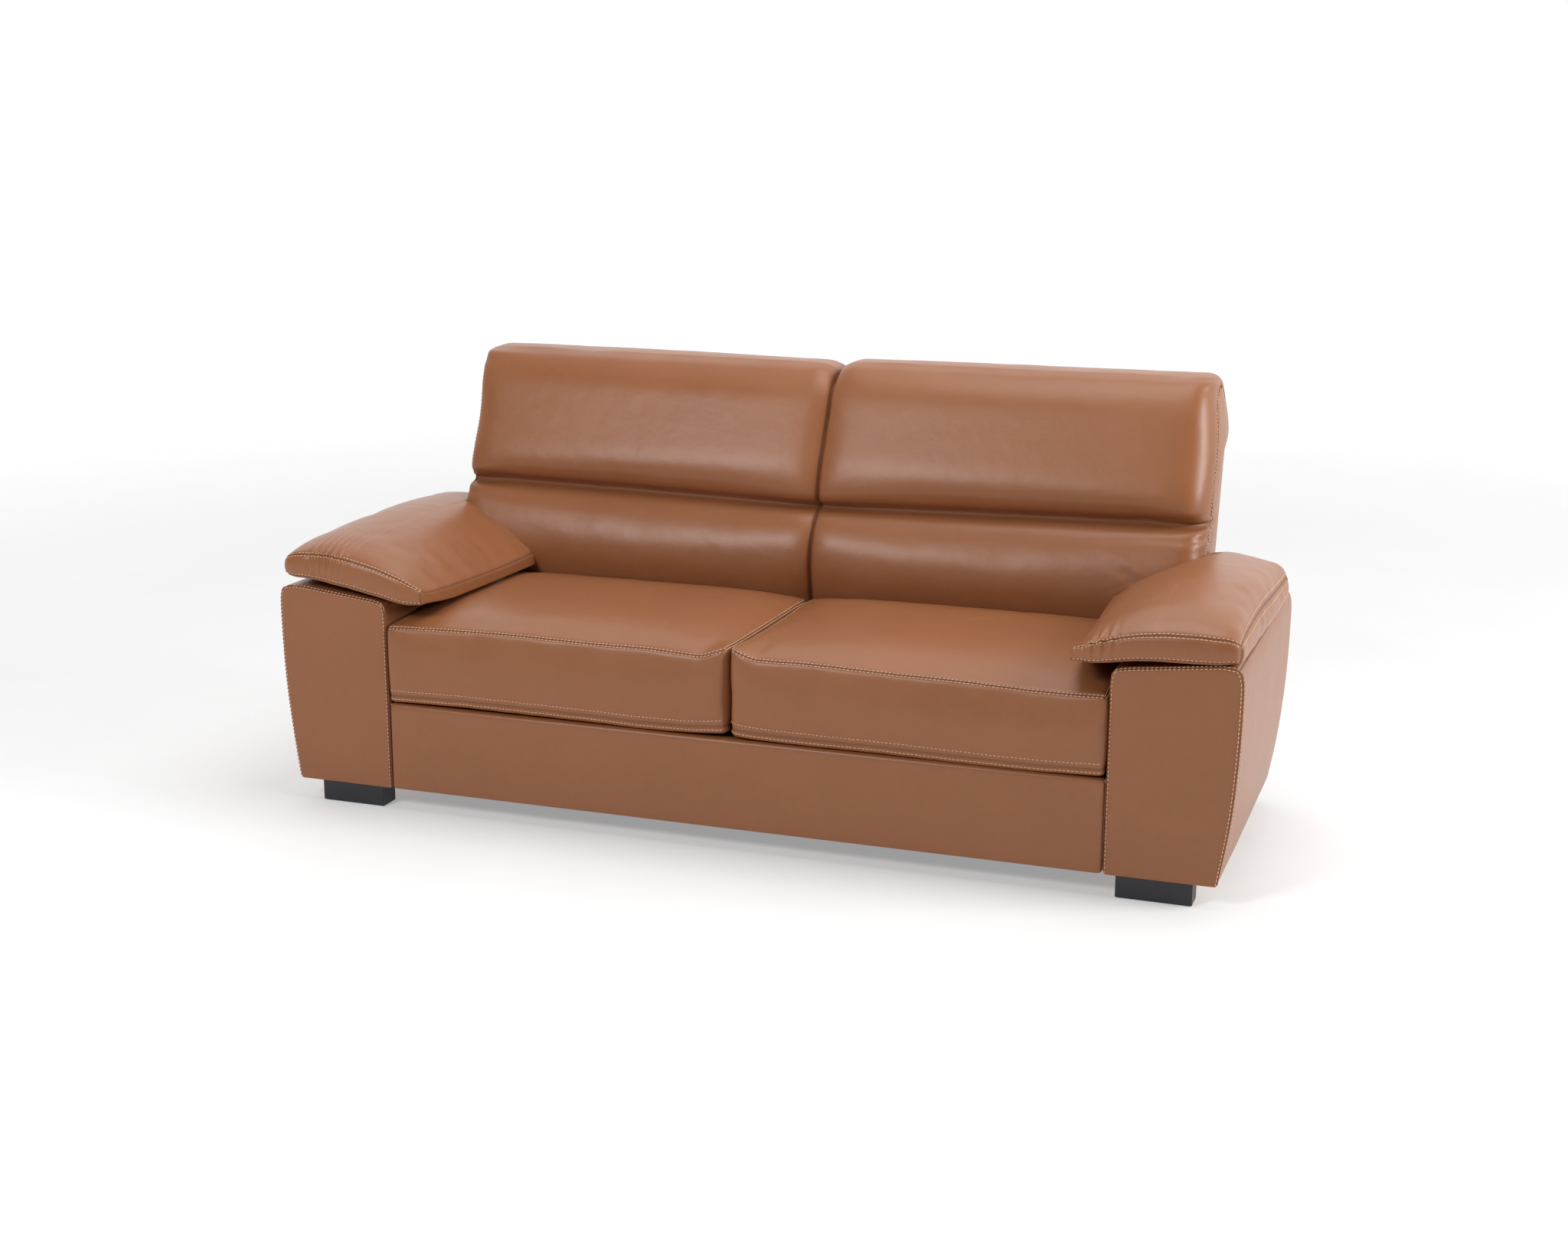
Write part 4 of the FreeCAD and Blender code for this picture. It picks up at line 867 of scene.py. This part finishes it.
for word, side in SIDES:
    xs = mirrored(spaced(0.001, BACK_OUT, BACK_GRID, (), (BACK_BEND, BACK_OUT, 0.008)), side)
    ys = spaced(0.0, BACK_DEEP, 0.022)
    zs = spaced(BACK_FOOT, BACK_TOP, BACK_GRID, (WAIST,), (0.572, 0.658, 0.007))
    skin = Skin(xs, ys, zs)
    skin.points = back_shape(skin, side)
    outer, inner, beside, _ = ends(side)
    waist = skin.at_line(2, WAIST)
    skin.seams = [skin.row(x=outer, y=0), skin.row(x=inner, y=0), skin.row(y=0, z=waist)]
    skin.seams += [skin.row(x=outer, z=-1), skin.row(x=inner, z=-1), skin.row(x=outer, y=-1)]
    hidden = [n for n, cell in enumerate(skin.cells) if cell[1] == skin.last[1] or cell[2] == 0]
    stuff(skin, hidden, pressure=2.6, slack=0.004, cap=0.008, calm=9)
    facing = outward(skin.points, skin.faces)
    at_waist = (side * 0.830, 0.185, WAIST - 0.010)
    tucks = pleats(skin.points, at_waist, (0, 0, 1), spread=0.034, pitch=0.022, depth=0.0085, reach_in=0.05)
    if side > 0:
        at_pad = (0.712, 0.085, 0.522)
        slanted = (0.5, 0, 0.86)
        tucks -= pleats(
            skin.points, at_pad, slanted, spread=0.022, pitch=0.032, depth=0.0075, reach_in=0.030
        )
    at_top = (side * 0.845, 0.285, 0.905)
    tucks += pleats(skin.points, at_top, (0, 0, 1), spread=0.030, pitch=0.026, depth=0.005, reach_in=0.035)
    skin.points += facing * tucks[:, None]
    piece = finish_skin(skin, f"back_{word}", "sofa_frame", tan_leather)
    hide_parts(f"back_cushion_cover_{word}", f"back_cushion_foam_{word}")
    rows = [skin.row(x=beside, y=0), skin.row(x=outer, y=1), skin.row(x=outer, z=-2)]
    sewing(f"back_stitches_{word}", [run_on(piece, row) for row in rows], "sofa_frame")

# %% [markdown]
# ## The arm pads
# Each arm carries a soft pillow that droops over the seat. Its top panel crowns high over the arm
# and falls to a thin tip, and a narrow band with a seam above and below runs round the front and
# the outer side. The sewn front is shorter than the panel behind it, so the panel gathers into
# small folds at one end.

# %% Arm pads
PAD_IN = 0.671
PAD_OUT = 1.013
PAD_FRONT = -0.425
PAD_REAR = 0.221
PAD_NOTCH = 0.098
PAD_NOSE = 0.972
PAD_STEP = 0.854
PAD_THICK = 0.055
PAD_ROUND = 0.009
PAD_GRID = 0.0115
PAD_SEWN = {
    -1: [
        (0.671, 0.486), (0.72, 0.508), (0.78, 0.528), (0.83, 0.540), (0.876, 0.548), (0.94, 0.551),
        (0.985, 0.547), (1.013, 0.535),
    ],
    1: [
        (0.671, 0.489), (0.705, 0.494), (0.745, 0.506), (0.808, 0.523), (0.86, 0.530), (0.906, 0.532),
        (0.96, 0.531), (0.998, 0.527), (1.013, 0.520),
    ],
}
PAD_FOOT = {
    -1: [
        (0.671, 0.456), (0.709, 0.454), (0.78, 0.466), (0.842, 0.477), (0.90, 0.487), (0.955, 0.494),
        (0.99, 0.495), (1.013, 0.500),
    ],
    1: [
        (0.671, 0.462), (0.705, 0.464), (0.741, 0.463), (0.81, 0.473), (0.909, 0.477), (0.98, 0.480),
        (1.013, 0.484),
    ],
}
PAD_OVER_ARM = [
    (0.671, 0.464), (0.69, 0.484), (0.715, 0.511), (0.764, 0.547), (0.821, 0.578), (0.88, 0.591),
    (0.924, 0.591), (0.97, 0.583), (1.0, 0.568), (1.009, 0.545), (1.013, 0.516),
]
PAD_REST = [
    (0.671, 0.443), (0.715, 0.449), (0.771, 0.457), (0.85, 0.466), (0.95, 0.477), (1.013, 0.474),
]
PAD_RISE = {
    -1: [
        (0, 0), (0.05, 0.26), (0.11, 0.44), (0.25, 0.62), (0.45, 0.76), (0.68, 0.80), (0.88, 0.68),
        (1, 0.58),
    ],
    1: [
        (0, 0), (0.05, 0.26), (0.11, 0.44), (0.25, 0.62), (0.45, 0.76), (0.68, 0.76), (0.88, 0.62),
        (1, 0.50),
    ],
}


def pad_shape(skin, side):
    block = skin.block * (side, 1, 1)
    low, high = (PAD_IN, PAD_FRONT, 0.0), (PAD_OUT, PAD_REAR, PAD_THICK)
    x, y, thick = soften(block, low, high, PAD_ROUND).T.copy()
    share = thick / PAD_THICK
    along = np.clip((block[:, 1] - PAD_FRONT) / (PAD_REAR - PAD_FRONT), 0, 1)
    rise = follow(PAD_RISE[side], along)
    set_back = ease(0.0, 0.3, along)
    edge = follow(PAD_SEWN[side], x) * (1 - rise) + follow(PAD_OVER_ARM, x) * rise
    foot = follow(PAD_FOOT[side], x) * (1 - set_back) + follow(PAD_REST, x) * set_back
    z = foot + share * (edge - foot)
    belly = np.sin(math.pi * np.clip(share, 0, 1)) * 0.006
    y -= belly * (1 - ease(0, 0.02, along))
    x += belly * ease(0.985, 1.0, (block[:, 0] - PAD_IN) / (PAD_OUT - PAD_IN)) * 0.6
    nose = np.clip((block[:, 0] - PAD_NOSE) / (PAD_OUT - PAD_NOSE), 0, 1)
    y += 0.018 * (1 - np.sqrt(1 - nose**2 * 0.98)) * (1 - ease(0, 0.08, along))
    stop = PAD_NOTCH + 0.065 * ease(0.79, 0.85, block[:, 0])
    stop += (PAD_REAR - PAD_NOTCH - 0.065) * ease(PAD_STEP - 0.004, PAD_STEP + 0.004, block[:, 0])
    y = PAD_FRONT + (y - PAD_FRONT) * (stop - PAD_FRONT) / (PAD_REAR - PAD_FRONT)
    if side > 0:
        z -= 0.009 * ease(0.88, 0.98, x) * ease(0.45, 0.9, along) * share
        x += 0.005 * ease(0.95, 1.01, x) * ease(0.3, 0.7, along)
    tip = 1 - ease(0, 0.07, block[:, 0] - PAD_IN)
    x += tip * ((0.022 if side > 0 else 0.012) - 0.022 * along)
    y += 0.010 * (1 - ease(0, 0.1, along)) * tip
    return np.stack([x * side, y, z], axis=1)


# the middle of the gathered stretch, then its spread, pitch, depth and reach, as in pleats
GATHERS = {
    -1: ((-0.905, -0.415, 0.552), 0.042, 0.0150, 0.0072, 0.030),
    1: ((0.752, -0.415, 0.506), 0.034, 0.0200, 0.0066, 0.024),
}
for word, side in SIDES:
    fold_middle = abs(GATHERS[side][0][0])
    folds = (fold_middle - 0.048, fold_middle + 0.044, 0.0042)
    xs = mirrored(spaced(PAD_IN, PAD_OUT, PAD_GRID, (PAD_STEP,), folds), side)
    ys = spaced(PAD_FRONT, PAD_REAR, PAD_GRID)
    zs = spaced(0.0, PAD_THICK, PAD_GRID)
    skin = Skin(xs, ys, zs)
    skin.points = pad_shape(skin, side)
    outer, inner, beside, _ = ends(side)
    skin.seams = [skin.row(y=0, z=-1), skin.row(x=outer, z=-1), skin.row(x=inner, z=-1)]
    skin.seams += [skin.row(y=0, z=1), skin.row(x=outer, z=1), skin.row(x=-1, y=0)]
    resting = [n for n, cell in enumerate(skin.cells) if cell[2] == 0 or cell[1] == skin.last[1]]
    stuff(skin, resting, pressure=2.2, slack=0.006, cap=0.006, calm=2)
    facing = outward(skin.points, skin.faces)
    middle, spread, pitch, deep, reach = GATHERS[side]
    tucks = pleats(skin.points, middle, (1, 0, 0), spread, pitch, deep, reach)
    near_front = (skin.cells[:, 2] > 1) & (skin.cells[:, 1] < 14)
    skin.points += facing * (tucks * near_front)[:, None]
    piece = finish_skin(skin, f"arm_pad_{word}", "sofa_frame", tan_leather)
    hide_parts(f"arm_pad_cover_{word}", f"arm_pad_foam_{word}")
    rows = [skin.row(y=1, z=-1), skin.row(y=0, z=-2), skin.row(y=0, z=2)]
    rows += [skin.row(x=beside, z=-1), skin.row(x=outer, z=-2), skin.row(x=outer, z=2)]
    sewing(f"arm_pad_stitches_{word}", [run_on(piece, row) for row in rows], "sofa_frame")

# %% [markdown]
# ## The upholstered frame
# The arms, the front rail and the outside of the back are boards with a thin pad and tight leather
# cloth. A tight cover still softens every edge, swells a millimetre or two between its seams, and
# shows a sewn line down each front edge of the arm. Cloth would hardly move on a tight cover, so these
# blocks are bent by their shape functions alone.

# %% Arms
HEM = 0.049
TIGHT_GROOVE = 0.0016
ARM_LOW = (0.771, FRONT, HEM)
ARM_HIGH = (1.015, 0.293, 0.482)
ARM_EDGE = 0.006
ARM_OUTLINE = [
    (0.049, 0.988), (0.10, 0.9955), (0.20, 1.0062), (0.30, 1.0127), (0.40, 1.0152), (0.482, 1.015),
]
ARM_TOP_LINE = [(0.771, 0.4545), (1.015, 0.482)]
ARM_ROUND = (0.024, 0.033, 0.028)


def arm_shape(skin, side):
    block = skin.block * (side, 1, 1)
    x, y, z = soften(block, ARM_LOW, ARM_HIGH, ARM_EDGE).T.copy()
    inner, outer, upper = ARM_ROUND
    core_x = np.clip(x, ARM_LOW[0] + inner, ARM_HIGH[0] - outer)
    core_z = np.minimum(z, ARM_HIGH[2] - upper)
    over_x = (x - core_x) / np.where(x > 0.9, outer, inner)
    over_z = (z - core_z) / upper
    square = np.maximum(np.abs(over_x), over_z)
    round_off = square / np.maximum(np.hypot(over_x, over_z), 1e-9)
    in_corner = (np.abs(over_x) > 1e-6) & (over_z > 1e-6)
    x = np.where(in_corner, core_x + (x - core_x) * round_off, x)
    z = np.where(in_corner, core_z + (z - core_z) * round_off, z)
    share = np.clip((x - ARM_LOW[0]) / (ARM_HIGH[0] - ARM_LOW[0]), 0, 1)
    height = np.clip((z - ARM_LOW[2]) / (ARM_HIGH[2] - ARM_LOW[2]), 0, 1)
    x -= share * (ARM_HIGH[0] - follow(ARM_OUTLINE, z))
    z -= height**6 * (ARM_HIGH[2] - np.interp(x, *np.array(ARM_TOP_LINE).T))
    side_face = ease(0.90, 1.0, share)
    along = np.clip((y - FRONT) / (ARM_HIGH[1] - FRONT), 0, 1)
    middle = np.sin(math.pi * height) * np.sin(math.pi * along)
    padding = 0.0090 + 0.0025 * height if side < 0 else 0.0025 + 0.0035 * ease(0, 0.35, height)
    x += side_face * (padding + middle**0.6 * 0.0045)
    front_face = 1 - ease(0, 0.012, block[:, 1] - FRONT)
    z -= (1 - ease(0, 0.1, height)) * 0.0045 * front_face
    y -= front_face * 0.0030 * np.sin(math.pi * height) * np.sin(math.pi * share)
    return np.stack([x * side, y, z], axis=1)


for word, side in SIDES:
    xs = mirrored(spaced(ARM_LOW[0], ARM_HIGH[0], 0.02), side)
    ys = spaced(FRONT, ARM_HIGH[1], 0.024)
    zs = spaced(ARM_LOW[2], ARM_HIGH[2], 0.02)
    skin = Skin(xs, ys, zs)
    skin.points = arm_shape(skin, side)
    outer, inner, beside, by_inner = ends(side)
    skin.seams = [skin.row(x=outer, y=0), skin.row(x=inner, y=0), skin.row(x=outer, y=-1)]
    skin.seams += [skin.row(y=0, z=-1)]
    facing = outward(skin.points, skin.faces)
    skin.points += facing * (ripple(skin.points, 0.16, SEED + side) * 0.0009)[:, None]
    piece = finish_skin(skin, f"arm_{word}", "sofa_frame", tan_leather, groove=TIGHT_GROOVE)
    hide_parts(f"arm_cover_{word}")
    rows = [skin.row(x=beside, y=0), skin.row(x=outer, y=1), skin.row(x=by_inner, y=0)]
    rows += [skin.row(y=0, z=-2), skin.row(y=1, z=-1)]
    sewing(f"arm_stitches_{word}", [run_on(piece, row) for row in rows], "sofa_frame")

# %% [markdown]
# The front rail is a long board behind thin foam, with the cover pulled round it and stapled below.
# It is a flat block that swells by about two millimetres in the middle, and it has no seam to sew.

# %% Front rail
RAIL_HALF = 0.7695
RAIL_LOW = (-RAIL_HALF, FRONT, HEM)
RAIL_HIGH = (RAIL_HALF, -0.389, 0.236)
RAIL_GRID = (0.03, 0.01, 0.02)
skin = Skin(*(spaced(low, high, step) for low, high, step in zip(RAIL_LOW, RAIL_HIGH, RAIL_GRID)))
skin.points = soften(skin.block, RAIL_LOW, RAIL_HIGH, 0.008)
skin.points[:, 2] -= 0.004 * (1 - ease(RAIL_LOW[2], 0.09, skin.block[:, 2]))
height = np.clip((skin.block[:, 2] - RAIL_LOW[2]) / (RAIL_HIGH[2] - RAIL_LOW[2]), 0, 1)
across = np.abs(skin.block[:, 0]) / RAIL_HALF
front_face = 1 - ease(0, 0.010, skin.block[:, 1] - FRONT)
swell = np.sin(math.pi * height) ** 0.5 * (1 - across**8)
skin.points[:, 1] -= front_face * 0.0025 * swell
skin.points[:, 1] -= front_face * 0.0010 * ripple(skin.points, 0.22, SEED)
rail = finish_skin(skin, "front_rail", "sofa_frame", tan_leather)
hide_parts("front_rail_cover", "front_rail_foam")

# %% [markdown]
# The outside of the back is one sheet pulled over the leaning frame. It is as wide as the gap
# between the arms below, and widens over them above, with a seam down each side.

# %% Outside of the back
OUTSIDE_HALF = 0.841
OUTSIDE_THICK = 0.084
OUTSIDE_TOP = 0.768
OUTSIDE_LINE = [
    (HEM, 0.293), (0.27, 0.293), (0.33, 0.302), (0.45, 0.336), (0.60, 0.379), (OUTSIDE_TOP, 0.4265),
]
FRAME_THICK = [(HEM, 0.026), (0.234, 0.026), (0.262, OUTSIDE_THICK), (OUTSIDE_TOP, OUTSIDE_THICK)]
xs = spaced(-OUTSIDE_HALF, OUTSIDE_HALF, 0.03)
ys = spaced(0.0, OUTSIDE_THICK, 0.02)
zs = spaced(HEM, OUTSIDE_TOP, 0.03, (0.488,))
skin = Skin(xs, ys, zs)
x, depth, z = skin.block.T
rear = np.interp(z, *np.array(OUTSIDE_LINE).T)
thick = np.interp(z, *np.array(FRAME_THICK).T)
wide = 0.770 + 0.075 * ease(0.484, 0.492, z)
edge_share = np.abs(x) / OUTSIDE_HALF
middle = np.cos(np.minimum(edge_share, 1) * math.pi / 2)
swell = 0.002 * middle * np.sin(math.pi * (z - HEM) / 0.72)
round_off = (0.001 + 0.005 * ease(0.30, 0.50, z)) * ease(0.985, 1.0, edge_share)
share = depth / OUTSIDE_THICK
y = rear - (1 - share) * thick + share * (swell - round_off)
skin.points = np.stack([x / OUTSIDE_HALF * wide, y, z], axis=1)
skin.seams = [skin.row(x=0, y=-1), skin.row(x=-1, y=-1)]
outside = finish_skin(skin, "back_outside", "sofa_frame", tan_leather, groove=TIGHT_GROOVE)
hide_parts("back_outer_cover")
rows = [skin.row(x=1, y=-1), skin.row(x=-2, y=-1)]
sewing("back_outside_stitches", [run_on(outside, row) for row in rows], "sofa_frame")

# %% [markdown]
# ## The cloth under the seats and under the sofa
# Black bonded cloth covers the springs, and a thin sheet of it closes the underside. Both are
# stapled tight to the rails, so they are flat grids with a very slight wave between the staples.

# %% Deck and dust cover
def stapled(name, low, high, wave, material):
    """A thin stretched sheet between two corners, waving by a millimetre or so."""
    xs = np.linspace(low[0], high[0], 90)
    ys = np.linspace(low[1], high[1], 44)
    zs = np.array([low[2], high[2]])
    skin = Skin(xs, ys, zs)
    rim = np.minimum.reduce([
        skin.block[:, 0] - low[0], high[0] - skin.block[:, 0],
        skin.block[:, 1] - low[1], high[1] - skin.block[:, 1],
    ])
    skin.points[:, 2] += wave * ripple(skin.block * (1, 1, 0), 0.09, SEED) * ease(0, 0.06, rim)
    piece = finish_skin(skin, name, "sofa_frame", material, groove=0, levels=0)
    return piece


deck = stapled("spring_cover", *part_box("seat_deck"), 0.0012, inside["nonwoven_cloth"])
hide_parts("seat_deck")
dust = stapled("underside_cloth", *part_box("dust_cover"), 0.0008, inside["nonwoven_cloth"])
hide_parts("dust_cover")

# %% [markdown]
# ## The floor
# A very large pale sheet, so that it fills every view. It glows a little, and more so far away, which
# keeps it white without washing out the sofa. It is a stage, not part of the sofa.

# %% Floor
FLOOR = 60
corners = [(-FLOOR, -FLOOR, 0), (FLOOR, -FLOOR, 0), (FLOOR, FLOOR, 0), (-FLOOR, FLOOR, 0)]
floor = hang("floor", corners, [(0, 1, 2, 3)])
pale = Finish("pale_floor")
flecks = pale.noise(3, 3)
floor_tone = pale.mix(flecks, shade(0.58, 0.58, 0.58), shade(0.62, 0.62, 0.62))
flat_place = pale.stretched(1, 1, 0)
reach = pale.node("ShaderNodeVectorMath", {"operation": "LENGTH"}, {0: flat_place}, "Value")
ramp = {"From Min": 1.5, "From Max": 7.0, "To Min": 0.0, "To Max": 1.0, "Value": reach}
far_off = pale.node("ShaderNodeMapRange", {"interpolation_type": "SMOOTHSTEP"}, ramp)
lit = pale.mix(far_off, shade(0.31, 0.31, 0.31), shade(0.62, 0.62, 0.62))
pale.shader.inputs["Emission Strength"].default_value = 1.0
floor.data.materials.append(pale.wear(Base_Color=floor_tone, Roughness=0.9, Emission_Color=lit))
